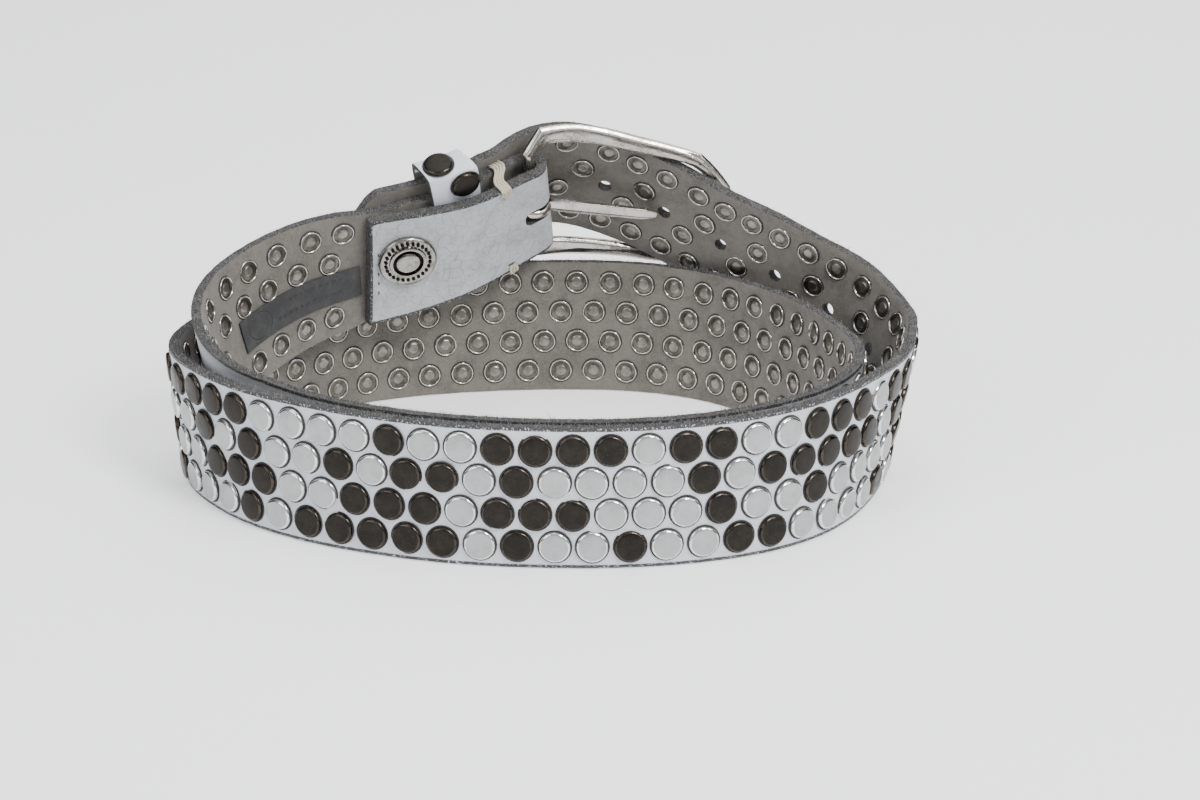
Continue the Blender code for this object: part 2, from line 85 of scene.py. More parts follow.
def splineThrough(knots, values, where):
    # natural cubic spline
    steps = np.diff(knots)
    count = len(knots)
    system = np.eye(count)
    right = np.zeros(values.shape)
    slopes = np.diff(values, axis=0) / steps[:, None]
    for i in range(1, count - 1):
        system[i, i - 1] = steps[i - 1]
        system[i, i] = 2 * (steps[i - 1] + steps[i])
        system[i, i + 1] = steps[i]
        right[i] = 6 * (slopes[i] - slopes[i - 1])
    bends = np.linalg.solve(system, right)
    span = np.clip(np.searchsorted(knots, where) - 1, 0, count - 2)
    width = steps[span][:, None]
    ahead = (knots[span + 1] - where)[:, None] / width
    behind = 1 - ahead
    cubic = (ahead ** 3 - ahead) * bends[span] + (behind ** 3 - behind) * bends[span + 1]
    return ahead * values[span] + behind * values[span + 1] + cubic * width ** 2 / 6


def unit(vectors):
    return vectors / np.linalg.norm(vectors, axis=1)[:, None]


def walk(values):
    # where the belt's lower edge, its direction, its width and its outer side are, each 0.25 mm
    chords = np.linalg.norm(np.diff(values[:, :3], axis=0), axis=1)
    knots = np.concatenate([[0], np.cumsum(chords)])
    points = splineThrough(knots, values, np.linspace(0, knots[-1], 40 * (len(knots) - 1) + 1))
    lengths = np.linalg.norm(np.diff(points[:, :3], axis=0), axis=1)
    travel = np.concatenate([[0], np.cumsum(lengths)])
    reach = 0.001
    length = travel[-1]
    s = np.linspace(0, length, int(length / 0.00025))

    def read(where):
        return np.stack([np.interp(where, travel, column) for column in points.T], axis=1)

    here = read(s)
    after = read(np.minimum(s + reach, length))
    before = read(np.maximum(s - reach, 0))
    tangent = unit((after - before)[:, :3])
    upright = np.array([0.0, 0.0, 1.0]) - tangent * tangent[:, 2:3]
    upright = unit(upright)
    outward = np.cross(tangent, upright)
    lean = here[:, 3:4]
    width = upright * np.cos(lean) + outward * np.sin(lean)
    normal = outward * np.cos(lean) - upright * np.sin(lean)
    return {"s": s, "base": here[:, :3], "lean": here[:, 3], "tangent": tangent,
            "width": width, "normal": normal, "length": length}


def readCourse(course, name, where):
    return np.stack([np.interp(where, course["s"], column) for column in course[name].T], axis=1)


def layCourse():
    # past the bar the tip rides on the outer side of the buckle end
    scale = np.array([coil["halfWidth"], coil["halfDepth"], coil["beltWidth"], math.radians(1)])
    rows = np.array(coil["rows"]) * scale
    first = walk(rows)
    where = np.linspace(0, coil["tipLength"], 9)
    layer = coil["leather"] + coil["layerGap"]
    ride = (readCourse(first, "base", where) + readCourse(first, "width", where) * coil["tipRise"]
            + readCourse(first, "normal", where) * layer)
    leans = np.interp(where, first["s"], first["lean"])
    return walk(np.vstack([rows, np.column_stack([ride, leans])]))


course = layCourse()
foldArc = math.pi * coil["foldRadius"]
flapEnd = -foldArc - coil["flapLength"]
layer = coil["leather"] + coil["layerGap"]
beltEnd = course["length"]


def onCoil(points):
    # points laid out flat: along the belt, up its width, out of its grain side
    flat = np.asarray(points, float).reshape(-1, 3)
    s, v, h = flat[:, 0:1], flat[:, 1:2], flat[:, 2:3]
    folded = s < -foldArc
    turning = (s < 0) & ~folded
    place = np.where(folded, -s - foldArc, np.maximum(s, 0))
    skew = coil["flapSkew"] * (0.5 - v / coil["beltWidth"]) * place / coil["flapLength"]
    place = np.where(folded, place + skew, place)[:, 0]
    inside = np.clip(place, 0, course["length"])
    base = readCourse(course, "base", inside)
    tangent = readCourse(course, "tangent", inside)
    width = readCourse(course, "width", inside)
    normal = readCourse(course, "normal", inside)
    straight = base + tangent * (place - inside)[:, None] + width * v + normal * h
    tight = coil["leather"] + coil["snapGap"]
    wide = 2 * coil["foldRadius"]
    share = np.clip(place / coil["flapLength"], 0, 1)[:, None]
    offset = tight + (wide - tight) * (1 - share * share)
    flap = base + width * v - normal * (offset + h)
    angle = -s / coil["foldRadius"]
    spoke = normal * np.cos(angle) - tangent * np.sin(angle)
    turn = base - normal * coil["foldRadius"] + width * v + spoke * (coil["foldRadius"] + h)
    placed = np.where(folded, flap, np.where(turning, turn, straight))
    return placed + np.array(coil["shift"])


def seat(s, v, h):
    # a matrix whose X runs along the belt, Y up its width and Z out of its grain side
    reach = 0.0008
    around = onCoil([(s, v, h), (s + reach, v, h), (s - reach, v, h), (s, v + reach, h),
                     (s, v - reach, h)])
    along = Vector(around[1] - around[2]).normalized()
    up = Vector(around[3] - around[4])
    out = along.cross(up).normalized()
    up = out.cross(along)
    turned = Matrix((along, up, out)).transposed().to_4x4()
    return Matrix.Translation(Vector(around[0])) @ turned


def barPass():
    bar = onCoil([(0, coil["tipRise"], layer)])[0]
    late = course["s"] > course["length"] * 0.8
    base = course["base"][late] + np.array(coil["shift"])
    return float(course["s"][late][np.argmin(np.linalg.norm(base - bar, axis=1))])


barAt = barPass()
print("course laid, metres:", round(beltEnd, 4), "bar passed at", round(barAt, 4))


# camera, light and floor

view = {"place": (0.0157101, -1.1374996, 0.4101), "down": 18.9, "lens": 125.457, "sensor": 36.0}


def makeCamera():
    data = bpy.data.cameras.new("photoCamera")
    data.lens = view["lens"]
    data.sensor_width = view["sensor"]
    data.clip_start = 0.02
    camera = bpy.data.objects.new("photoCamera", data)
    camera.location = view["place"]
    camera.rotation_euler = (math.radians(90 - view["down"]), 0, 0)
    bpy.context.scene.collection.objects.link(camera)
    bpy.context.scene.camera = camera


studio = {
    "zenith": (0.93, 0.95, 1.0, 1.0),
    "horizon": (0.16, 0.16, 0.17, 1.0),
    # how far the light leans to the camera's side, and where it fades
    "skyLean": 0.75,
    "skyRange": (0.1, 0.85),
    "skyStrength": 0.66,
    "floor": (0.90, 0.905, 0.915, 1.0),
    "floorShade": (0.86, 0.87, 0.88, 1.0),
    "floorGlow": 0.60,
    "floorSize": 6.0,
    "floorDrop": 0.0002,
    # name, place, aim, size, watts
    "lamps": [
        ("keySoftbox", (0.60, -0.80, 1.05), (0.0, 0.0, 0.03), 0.42, 19.5),
        ("fillSoftbox", (-0.85, -0.75, 0.65), (0.0, 0.0, 0.03), 0.7, 5.5),
        ("backSoftbox", (0.15, 0.95, 0.95), (0.0, 0.0, 0.03), 1.0, 9.0),
        ("topSoftbox", (0.0, 0.05, 1.35), (0.0, 0.0, 0.0), 0.9, 8.0),
        ("rimSoftbox", (0.95, -0.50, 0.62), (0.0, 0.0, 0.03), 0.42, 3.2),
    ],
}


def makeStudio():
    world = bpy.data.worlds.new("paleStudio")
    bpy.context.scene.world = world
    world.use_nodes = True
    back = world.node_tree.nodes["Background"]
    # light from above and from the camera's side, darker to the sides, so that rims show
    w = Wiring(world.node_tree)
    split = w.add("ShaderNodeSeparateXYZ")
    w.put(w.add("ShaderNodeTexCoord").outputs["Generated"], split.inputs[0])
    leant = w.maths("MULTIPLY", split.outputs[1], studio["skyLean"])
    light = w.ramp(w.maths("SUBTRACT", split.outputs[2], leant), *studio["skyRange"])
    w.put(w.mix(light, studio["horizon"], studio["zenith"]), back.inputs["Color"])
    back.inputs["Strength"].default_value = studio["skyStrength"]
    for name, place, aim, size, watts in studio["lamps"]:
        data = bpy.data.lights.new(name, "AREA")
        data.shape = "SQUARE"
        data.size = size
        data.energy = watts
        lamp = bpy.data.objects.new(name, data)
        lamp.location = place
        lamp.rotation_euler = (Vector(aim) - Vector(place)).to_track_quat("-Z", "Y").to_euler()
        bpy.context.scene.collection.objects.link(lamp)
    bpy.ops.mesh.primitive_plane_add(size=studio["floorSize"], location=(0, 0, -studio["floorDrop"]))
    floor = bpy.context.object
    floor.name = "paleFloor"
    return floor


# shader groups and materials

def newGroup(name, inputs, outputs):
    group = bpy.data.node_groups.new(name, "ShaderNodeTree")
    for label, kind, value in inputs:
        socket = group.interface.new_socket(name=label, in_out="INPUT", socket_type="NodeSocket" + kind)
        if value is not None:
            socket.default_value = value
    for label, kind in outputs:
        group.interface.new_socket(name=label, in_out="OUTPUT", socket_type="NodeSocket" + kind)
    start = group.nodes.new("NodeGroupInput")
    end = group.nodes.new("NodeGroupOutput")
    start.location = (-900, 0)
    end.location = (700, 0)
    return group, Wiring(group), start.outputs, end.inputs


class Wiring:
    # short words for adding nodes to a tree, left to right
    def __init__(self, tree):
        self.tree = tree
        self.column = 0

    def add(self, kind, **settings):
        node = self.tree.nodes.new(kind)
        self.column += 1
        node.location = (-700 + 60 * self.column, 200 - 140 * (self.column % 5))
        for key, value in settings.items():
            setattr(node, key, value)
        return node

    def put(self, value, socket):
        if isinstance(value, bpy.types.NodeSocket):
            self.tree.links.new(value, socket)
        else:
            socket.default_value = value

    def maths(self, operation, a, b=0.0, c=0.0):
        node = self.add("ShaderNodeMath", operation=operation)
        for value, socket in zip((a, b, c), node.inputs):
            self.put(value, socket)
        return node.outputs[0]

    def ramp(self, value, low, high, outLow=0.0, outHigh=1.0):
        node = self.add("ShaderNodeMapRange", clamp=True, interpolation_type="SMOOTHSTEP")
        for number, socket in zip((value, low, high, outLow, outHigh), node.inputs):
            self.put(number, socket)
        return node.outputs[0]

    def mix(self, share, a, b):
        node = self.add("ShaderNodeMix", data_type="RGBA")
        self.put(share, node.inputs["Factor"])
        self.put(a, node.inputs[6])
        self.put(b, node.inputs[7])
        return node.outputs[2]

    def noise(self, where, scale, detail=3.0, rough=0.5):
        node = self.add("ShaderNodeTexNoise")
        self.put(where, node.inputs["Vector"])
        self.put(scale, node.inputs["Scale"])
        self.put(detail, node.inputs["Detail"])
        self.put(rough, node.inputs["Roughness"])
        return node.outputs["Fac"]

    def cells(self, where, scale, feature="F1"):
        node = self.add("ShaderNodeTexVoronoi", feature=feature)
        self.put(where, node.inputs["Vector"])
        self.put(scale, node.inputs["Scale"])
        return node.outputs["Distance"]

    def place(self):
        return self.add("ShaderNodeTexCoord").outputs["Object"]

    def attribute(self, name):
        return self.add("ShaderNodeAttribute", attribute_name=name).outputs["Fac"]

    def use(self, group, **values):
        node = self.add("ShaderNodeGroup")
        node.node_tree = group
        for key, value in values.items():
            self.put(value, node.inputs[key])
        return node


def buildGroups():
    # stains: soft blotches over a base colour
    stains, w, given, made = newGroup(
        "stains",
        [("Place", "Vector", None), ("Clean", "Color", (0.8, 0.8, 0.8, 1)),
         ("Stained", "Color", (0.4, 0.4, 0.4, 1)), ("Size", "Float", 60.0), ("Amount", "Float", 0.4)],
        [("Color", "Color"), ("Mask", "Float")])
    big = w.noise(given["Place"], given["Size"], 5.0, 0.62)
    small = w.noise(given["Place"], w.maths("MULTIPLY", given["Size"], 6.3), 4.0, 0.6)
    mask = w.maths("ADD", w.maths("MULTIPLY", big, 0.65), w.maths("MULTIPLY", small, 0.35))
    mask = w.maths("MULTIPLY", w.ramp(mask, 0.40, 0.66), given["Amount"])
    w.put(w.mix(mask, given["Clean"], given["Stained"]), made["Color"])
    w.put(mask, made["Mask"])

    # pores: the fine pebbled grain of leather, as a height
    pores, w, given, made = newGroup(
        "leatherPores", [("Place", "Vector", None), ("Size", "Float", 900.0), ("Creases", "Float", 0.5)],
        [("Height", "Float")])
    pebbles = w.cells(given["Place"], given["Size"])
    fine = w.noise(given["Place"], w.maths("MULTIPLY", given["Size"], 1.9))
    drift = w.add("ShaderNodeTexNoise")
    w.put(given["Place"], drift.inputs["Vector"])
    w.put(90.0, drift.inputs["Scale"])
    bent = w.add("ShaderNodeVectorMath", operation="MULTIPLY_ADD")
    terms = (drift.outputs["Color"], (0.006, 0.006, 0.006), given["Place"])
    for value, socket in zip(terms, bent.inputs):
        w.put(value, socket)
    lines = w.cells(bent.outputs[0], w.maths("MULTIPLY", given["Size"], 0.28), "DISTANCE_TO_EDGE")
    lines = w.maths("MULTIPLY", w.ramp(lines, 0.0, 0.06), given["Creases"])
    height = w.maths("ADD", w.maths("MULTIPLY", pebbles, 0.35), w.maths("MULTIPLY", fine, 0.35))
    w.put(w.maths("ADD", height, lines), made["Height"])

    # pitting: cast pits and soft dents, as a height and a mask of the dirt that gathers in them
    pitting, w, given, made = newGroup(
        "pitting", [("Place", "Vector", None), ("Size", "Float", 700.0), ("Depth", "Float", 1.0)],
        [("Height", "Float"), ("Dirt", "Float")])
    dents = w.noise(given["Place"], w.maths("MULTIPLY", given["Size"], 0.45), 4.0, 0.6)
    pits = w.ramp(w.cells(given["Place"], given["Size"]), 0.05, 0.32)
    where = w.ramp(w.noise(given["Place"], w.maths("MULTIPLY", given["Size"], 0.2)), 0.46, 0.62)
    pits = w.maths("SUBTRACT", 1.0, w.maths("MULTIPLY", w.maths("SUBTRACT", 1.0, pits), where))
    height = w.maths("ADD", w.maths("MULTIPLY", dents, 0.8), w.maths("MULTIPLY", pits, 0.5))
    w.put(w.maths("MULTIPLY", height, given["Depth"]), made["Height"])
    w.put(w.maths("MULTIPLY", w.maths("SUBTRACT", 1.0, pits), 0.9), made["Dirt"])
    return {"stains": stains, "pores": pores, "pitting": pitting}


def newMaterial(name, rough=0.5, specular=0.5, metallic=0.0):
    material = bpy.data.materials.new(name)
    material.use_nodes = True
    shader = material.node_tree.nodes["Principled BSDF"]
    for key, value in (("Roughness", rough), ("Specular IOR Level", specular), ("Metallic", metallic)):
        shader.inputs[key].default_value = value
    return material, Wiring(material.node_tree), shader


def dress(made, parts, colour, height=None, strength=0.3, distance=0.0002):
    # give a material its colour and its relief, and keep it under its name
    material, w, shader = parts
    w.put(colour, shader.inputs["Base Color"])
    if height is not None:
        relief = w.add("ShaderNodeBump")
        for key, value in (("Height", height), ("Strength", strength), ("Distance", distance)):
            w.put(value, relief.inputs[key])
        w.put(relief.outputs["Normal"], shader.inputs["Normal"])
    made[material.name] = material


# colours are linear; stud rows: margin from the lower edge, spacing, pitch and start along the belt
studs = {
    "margin": 0.0062,
    "rowSpacing": 0.0092,
    "pitch": 0.0101,
    "start": 0.0041,
    "radius": 0.00435,
    # the skirt is a thin dark ring of painted contact shadow round the stud's foot
    "skirt": 0.00042,
    "skirtDepth": 0.0002,
    "rimWidth": 0.0006,
    # inset and rise from the skirt to the middle
    "steps": [(0.0, 0.00042), (0.00007, 0.00022), (0.00018, 0.00022), (0.00030, 0.00016),
              (0.00014, 0.00003), (0.0007, 0.00007), (0.0010, 0.00006), (0.0010, 0.00003)],
    "sides": 24,
    "tilt": 1.6,
    "slide": 0.00008,
    # bare leather kept at the tip, past the flap and round a hole (in half pitches)
    "tipRoom": 0.006,
    "flapRoom": 0.004,
    "holeRoom": 0.75,
    "gapCorner": (-0.030, 0.010),
    # bare flesh kept before the bar and round the label
    "barRoom": 0.004,
    "labelRoom": 0.003,
    # how far the studs and rings sit in the leather and stand off it
    "sink": 0.00003,
    "ringSink": 0.00002,
    "height": 0.0010,
    "ringHeight": 0.0006,
    # the other turn: how far off along the belt it starts, and the slack round its section
    "otherTurn": 0.1,
    "slack": (0.0004, 0.001, 0.0001),
    "seed": 5,
    # from the row at the top edge down; D dark, s silver; first place in columns from the front's middle
    "chart": [
        (-12.0, "sDDDDDssssDssDDDDsDDssDDDsDD"),
        (-11.5, "sssDsDssDsDDsDssssDsDDDDDsDD"),
        (-11.0, "DssDDDssDDDsDDDsssDssDssss"),
        (-10.5, "DsssDsDDDDDsDssDssDDssssD"),
    ],
    "chartMiddle": 75,
}


leatherLook = {
    "grain": (0.55, 0.575, 0.61, 1.0),
    "grainWorn": (0.44, 0.458, 0.48, 1.0),
    "flap": (0.44, 0.458, 0.475, 1.0),
    "flapWorn": (0.30, 0.314, 0.326, 1.0),
    "keeper": (0.62, 0.655, 0.71, 1.0),
    "keeperWorn": (0.50, 0.53, 0.57, 1.0),
    "flesh": (0.140, 0.130, 0.112, 1.0),
    "fleshStain": (0.078, 0.072, 0.062, 1.0),
    "fleshNap": (0.225, 0.211, 0.186, 1.0),
    "raw": (0.042, 0.041, 0.040, 1.0),
    "rawPale": (0.190, 0.186, 0.180, 1.0),
    "cut": (0.010, 0.009, 0.009, 1.0),
    # painted shade: the dark colour of the shadowed slit where the two turns lie face to face
    "tuckedShade": (0.075, 0.073, 0.069, 1.0),
    "fibreDark": (0.022, 0.022, 0.024, 1.0),
    "fibrePale": (0.36, 0.36, 0.365, 1.0),
    # how far from the edge the dark cut line ends
    "cutLine": (0.00080, 0.00110),
    # material, clean and worn colour, share of wear, creases
    "grains": [("paleGrain", "grain", "grainWorn", 0.45, 0.15),
               ("flapGrain", "flap", "flapWorn", 0.8, 0.8),
               ("keeperGrain", "keeper", "keeperWorn", 0.45, 0.3)],
}


def makeLeathers(groups, made):
    for name, clean, worn, amount, creases in leatherLook["grains"]:
        parts = newMaterial(name, 0.52, 0.35)
        w = parts[1]
        place = w.place()
        stained = w.use(groups["stains"], Place=place, Clean=leatherLook[clean],
                        Stained=leatherLook[worn], Size=140.0, Amount=amount)
        colour = stained.outputs["Color"]
        if name != "keeperGrain":
            # painted shade where the turns lie face to face in a shadowed slit, and the thin dark broken
            # line of the cut
            slitShade = w.maths("MULTIPLY", w.attribute("slitShade"), 0.93)
            colour = w.mix(slitShade, colour, leatherLook["tuckedShade"])
            line = w.ramp(w.attribute("fromEdge"), *leatherLook["cutLine"], 1.0, 0.0)
            line = w.maths("MULTIPLY", line, w.ramp(w.noise(place, 2300.0, 1.0), 0.30, 0.42))
            colour = w.mix(w.maths("MULTIPLY", line, 0.95), colour, leatherLook["cut"])
        height = w.use(groups["pores"], Place=place, Size=1100.0, Creases=creases).outputs["Height"]
        dress(made, parts, colour, height, 0.35 + 0.4 * creases, 0.0003)

    parts = newMaterial("suedeFlesh", 0.88, 0.2)
    w = parts[1]
    place = w.place()
    stained = w.use(groups["stains"], Place=place, Clean=leatherLook["flesh"],
                    Stained=leatherLook["fleshStain"], Size=70.0, Amount=0.8)
    fine = w.noise(place, 1700.0, 4.0, 0.7)
    colour = w.mix(w.ramp(fine, 0.42, 0.72, 0.0, 0.35), stained.outputs["Color"], leatherLook["fleshNap"])
    parts[2].inputs["Sheen Weight"].default_value = 0.15
    parts[2].inputs["Sheen Roughness"].default_value = 0.6
    height = w.maths("ADD", w.maths("MULTIPLY", fine, 0.6), w.noise(place, 420.0))
    dress(made, parts, colour, height, 0.5, 0.0003)

    parts = newMaterial("rawEdge", 0.95, 0.1)
    w = parts[1]
    place = w.place()
    strands = w.noise(place, 2100.0, 5.0, 0.75)
    blots = w.ramp(w.noise(place, 260.0), 0.5, 0.7, 0.0, 0.25)
    share = w.maths("ADD", w.ramp(strands, 0.38, 0.68, 0.0, 0.75), blots)
    dress(made, parts, w.mix(share, leatherLook["raw"], leatherLook["rawPale"]), strands, 0.9, 0.0006)

    parts = newMaterial("looseFibre", 0.9, 0.15)
    w = parts[1]
    dress(made, parts, w.mix(w.attribute("tone"), leatherLook["fibreDark"], leatherLook["fibrePale"]))


def makeMetals(groups, made):
    metals = [
        # name, base, tarnish, tarnish amount, roughness low, high, pit size, bump
        ("silverFace", (0.37, 0.376, 0.376, 1), (0.27, 0.266, 0.252, 1), 0.35, 0.34, 0.46, 900.0, 0.06),
        ("silverRim", (0.74, 0.74, 0.73, 1), (0.26, 0.225, 0.18, 1), 0.40, 0.08, 0.20, 900.0, 0.05),
        ("darkFace", (0.020, 0.0185, 0.0165, 1), (0.050, 0.044, 0.036, 1), 0.45, 0.32, 0.50, 800.0, 0.08),
        ("darkRim", (0.040, 0.035, 0.030, 1), (0.095, 0.080, 0.063, 1), 0.6, 0.20, 0.34, 900.0, 0.06),
        ("ringNickel", (0.50, 0.485, 0.445, 1), (0.17, 0.142, 0.11, 1), 0.36, 0.12, 0.30, 900.0, 0.08),
        ("ringHollow", (0.14, 0.131, 0.115, 1), (0.075, 0.063, 0.050, 1), 0.8, 0.30, 0.55, 1100.0, 0.25),
        ("ringMiddle", (0.25, 0.238, 0.212, 1), (0.10, 0.084, 0.067, 1), 0.7, 0.30, 0.50, 1100.0, 0.25),
        ("castSilver", (0.48, 0.46, 0.42, 1), (0.14, 0.115, 0.088, 1), 0.62, 0.18, 0.36, 520.0, 0.28),
        ("prongSilver", (0.50, 0.48, 0.44, 1), (0.16, 0.135, 0.105, 1), 0.5, 0.16, 0.30, 420.0, 0.06),
        ("snapNickel", (0.32, 0.31, 0.285, 1), (0.10, 0.085, 0.066, 1), 0.6, 0.16, 0.34, 900.0, 0.08),
        ("snapRecess", (0.012, 0.011, 0.010, 1), (0.035, 0.029, 0.024, 1), 0.6, 0.45, 0.65, 900.0, 0.15),
    ]
    for name, base, tarnish, amount, low, high, size, relief in metals:
        parts = newMaterial(name, metallic=1.0)
        w = parts[1]
        place = w.place()
        pit = w.use(groups["pitting"], Place=place, Size=size, Depth=1.0)
        stained = w.use(groups["stains"], Place=place, Clean=base, Stained=tarnish, Size=size * 0.32,
                        Amount=amount)
        rough = w.ramp(stained.outputs["Mask"], 0.0, max(amount, 0.1), low, high)
        w.put(rough, parts[2].inputs["Roughness"])
        colour = w.mix(w.maths("MULTIPLY", pit.outputs["Dirt"], amount), stained.outputs["Color"], tarnish)
        dress(made, parts, colour, pit.outputs["Height"], relief, 0.0004)


def makePlainOnes(groups, made):
    parts = newMaterial("waxedThread", 0.6)
    w = parts[1]
    twist = w.add("ShaderNodeTexWave", wave_type="BANDS", bands_direction="DIAGONAL")
    for key, value in (("Vector", w.place()), ("Scale", 900.0), ("Distortion", 2.0)):
        w.put(value, twist.inputs[key])
    turns = twist.outputs["Fac"]
    dress(made, parts, w.mix(turns, (0.42, 0.36, 0.26, 1), (0.66, 0.60, 0.47, 1)), turns, 0.6)

    parts = newMaterial("labelPatch", 0.62, 0.3)
    w = parts[1]
    place = w.place()
    stained = w.use(groups["stains"], Place=place, Clean=(0.031, 0.031, 0.032, 1),
                    Stained=(0.054, 0.054, 0.054, 1), Size=180.0, Amount=0.7)
    dress(made, parts, stained.outputs["Color"], w.noise(place, 1900.0))

    # name, size of the fuzz, its two colours, roughness, relief; the first is painted contact
    # shadow, the dark ring laid on the leather round each stud
    fuzzy = [
        ("studContactShade", 1200.0, (0.010, 0.010, 0.010, 1), (0.050, 0.048, 0.046, 1), 0.8, 0.4),
        ("darkStitch", 2400.0, (0.03, 0.03, 0.03, 1), (0.09, 0.09, 0.09, 1), 0.8, 0.5),
        ("labelMark", 900.0, (0.008, 0.008, 0.008, 1), (0.018, 0.018, 0.018, 1), 0.5, 0.3),
    ]
    for name, scale, low, high, rough, relief in fuzzy:
        parts = newMaterial(name, rough)
        w = parts[1]
        fuzz = w.noise(w.place(), scale)
        dress(made, parts, w.mix(fuzz, low, high), fuzz, relief)

    parts = newMaterial("paleFloor", 0.75)
    w = parts[1]
    parts[2].inputs["Emission Color"].default_value = studio["floor"]
    parts[2].inputs["Emission Strength"].default_value = studio["floorGlow"]
    grey = w.maths("MULTIPLY", w.noise(w.place(), 3.0, 2.0), 0.03)
    dress(made, parts, w.mix(grey, studio["floor"], studio["floorShade"]))


# helpers for modelling

def lookAtOnly(piece):
    bpy.ops.object.select_all(action="DESELECT")
    piece.select_set(True)
    bpy.context.view_layer.objects.active = piece


def applyModifier(piece, kind, **settings):
    lookAtOnly(piece)
    modifier = piece.modifiers.new(kind.lower(), kind)
    for key, value in settings.items():
        setattr(modifier, key, value)
    bpy.ops.object.modifier_apply(modifier=modifier.name)


def settle(piece):
    # put the piece's place into its mesh
    lookAtOnly(piece)
    bpy.ops.object.transform_apply(location=True, rotation=True, scale=True)


def smooth(piece, degrees):
    lookAtOnly(piece)
    bpy.ops.object.shade_smooth_by_angle(angle=math.radians(degrees))


def corners(piece):
    spots = np.empty(len(piece.data.vertices) * 3)
    piece.data.vertices.foreach_get("co", spots)
    return spots.reshape(-1, 3)


def setCorners(piece, spots):
    piece.data.vertices.foreach_set("co", np.asarray(spots).ravel())
    piece.data.update()


def linked(name, data):
    piece = bpy.data.objects.new(name, data)
    bpy.context.scene.collection.objects.link(piece)
    return piece


def giveAttribute(piece, name, values):
    attribute = piece.data.attributes.new(name, "FLOAT", "POINT")
    attribute.data.foreach_set("value", values.astype(np.float32))


def giveMaterials(piece, materials):
    piece.data.materials.clear()
    for material in materials:
        piece.data.materials.append(material)


def inEditMode(piece):
    # all of the piece picked, ready for a mesh step
    lookAtOnly(piece)
    bpy.ops.object.mode_set(mode="EDIT")
    bpy.ops.mesh.select_all(action="SELECT")


def faceOut(piece):
    inEditMode(piece)
    bpy.ops.mesh.normals_make_consistent(inside=False)
    bpy.ops.object.mode_set(mode="OBJECT")


def newRound(sides, radius, depth, low=0.0):
    # a low cylinder on the given height
    bpy.ops.mesh.primitive_cylinder_add(vertices=sides, radius=radius, depth=depth,
                                        location=(0, 0, low + depth / 2))
    piece = bpy.context.object
    settle(piece)
    return piece


def joinPieces(pieces, name):
    bpy.ops.object.select_all(action="DESELECT")
    for piece in pieces:
        piece.select_set(True)
    bpy.context.view_layer.objects.active = pieces[0]
    bpy.ops.object.join()
    whole = bpy.context.object
    whole.name = name
    return whole


def strew(model, places, name):
    # copies of one model, each with its own mesh, joined into one piece; the model goes
    copies = []
    for place in places:
        copy = bpy.data.objects.new(name, model.data.copy())
        copy.matrix_world = place
        bpy.context.scene.collection.objects.link(copy)
        copies.append(copy)
    bpy.data.objects.remove(model, do_unlink=True)
    whole = joinPieces(copies, name)
    settle(whole)
    return whole


def finishPiece(piece, node=None):
    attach(piece, "root")
    if node:
        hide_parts(node)


def turned(piece, profile):
    # shape the top of a round piece by sloping steps: inset and rise
    bpy.ops.object.mode_set(mode="EDIT")
    for inset, rise in profile:
        selectTopDisc(piece)
        if inset:
            bpy.ops.mesh.inset(thickness=inset, depth=rise)
        else:
            bpy.ops.mesh.extrude_region_move(TRANSFORM_OT_translate={"value": (0, 0, rise)})
    bpy.ops.object.mode_set(mode="OBJECT")


def selectTopDisc(piece):
    # the one many-sided face that looks up and lies nearest the axis
    bm = bmesh.from_edit_mesh(piece.data)
    bpy.context.tool_settings.mesh_select_mode = (False, False, True)
    discs = [face for face in bm.faces if len(face.verts) > 8 and face.normal.z > 0.5]
    for face in bm.faces:
        face.select_set(False)
    discs[0].select_set(True)
    bm.select_flush_mode()
    bmesh.update_edit_mesh(piece.data)


# strap

strap = {
    "step": 0.0021,
    "foldStep": 0.0008,
    "flapStep": 0.0015,
    "tipColumns": 14,
    "rows": 18,
    "rounding": 0.00030,
    "wobble": 0.00016,
    # how the painted shade of the tucked stretch, the shadowed slit between the turns, starts, ends and
    # fades in from the edge
    "slitShadeStart": 0.10,
    "slitShadeFades": (0.05, 0.02),
    "slitShadeWidth": 0.0030,
    "slitShadeShare": 1.4,
    "holeCount": 7,
    "holeRadius": 0.0021,
    "slotLength": 0.0062,
    "slotWidth": 0.0056,
    "slotRounding": 0.0022,
}


def holePlaces():
    first = 2 * round((barAt - studs["start"]) / studs["pitch"]) - 0.5
    return [studs["start"] + studs["pitch"] / 2 * (first - 4 * k) for k in range(strap["holeCount"])]


def strapWidth(s):
    left = beltEnd - s
    if left < coil["tipRound"]:
        share = 1 - left / coil["tipRound"]
        return coil["beltWidth"] * math.sqrt(max(1 - 0.9 * share * share, 0))
    start = coil["flapLength"] - coil["keeperWidth"] / 2
    share = min(max((s - start) / coil["keeperWidth"], 0.0), 1.0)
    return coil["flapWidth"] + (coil["beltWidth"] - coil["flapWidth"]) * share


def strapColumns():
    flap = np.linspace(flapEnd, -foldArc, int(coil["flapLength"] / strap["flapStep"]))
    fold = np.linspace(-foldArc, 0.002, int(foldArc / strap["foldStep"]))[1:]
    run = np.linspace(0.002, beltEnd - coil["tipRound"], int(beltEnd / strap["step"]))[1:]
    turn = np.radians(np.linspace(0, 90, strap["tipColumns"]))
    tip = beltEnd - coil["tipRound"] * (1 - np.sin(turn))
    return list(flap) + list(fold) + list(run) + list(tip[1:])


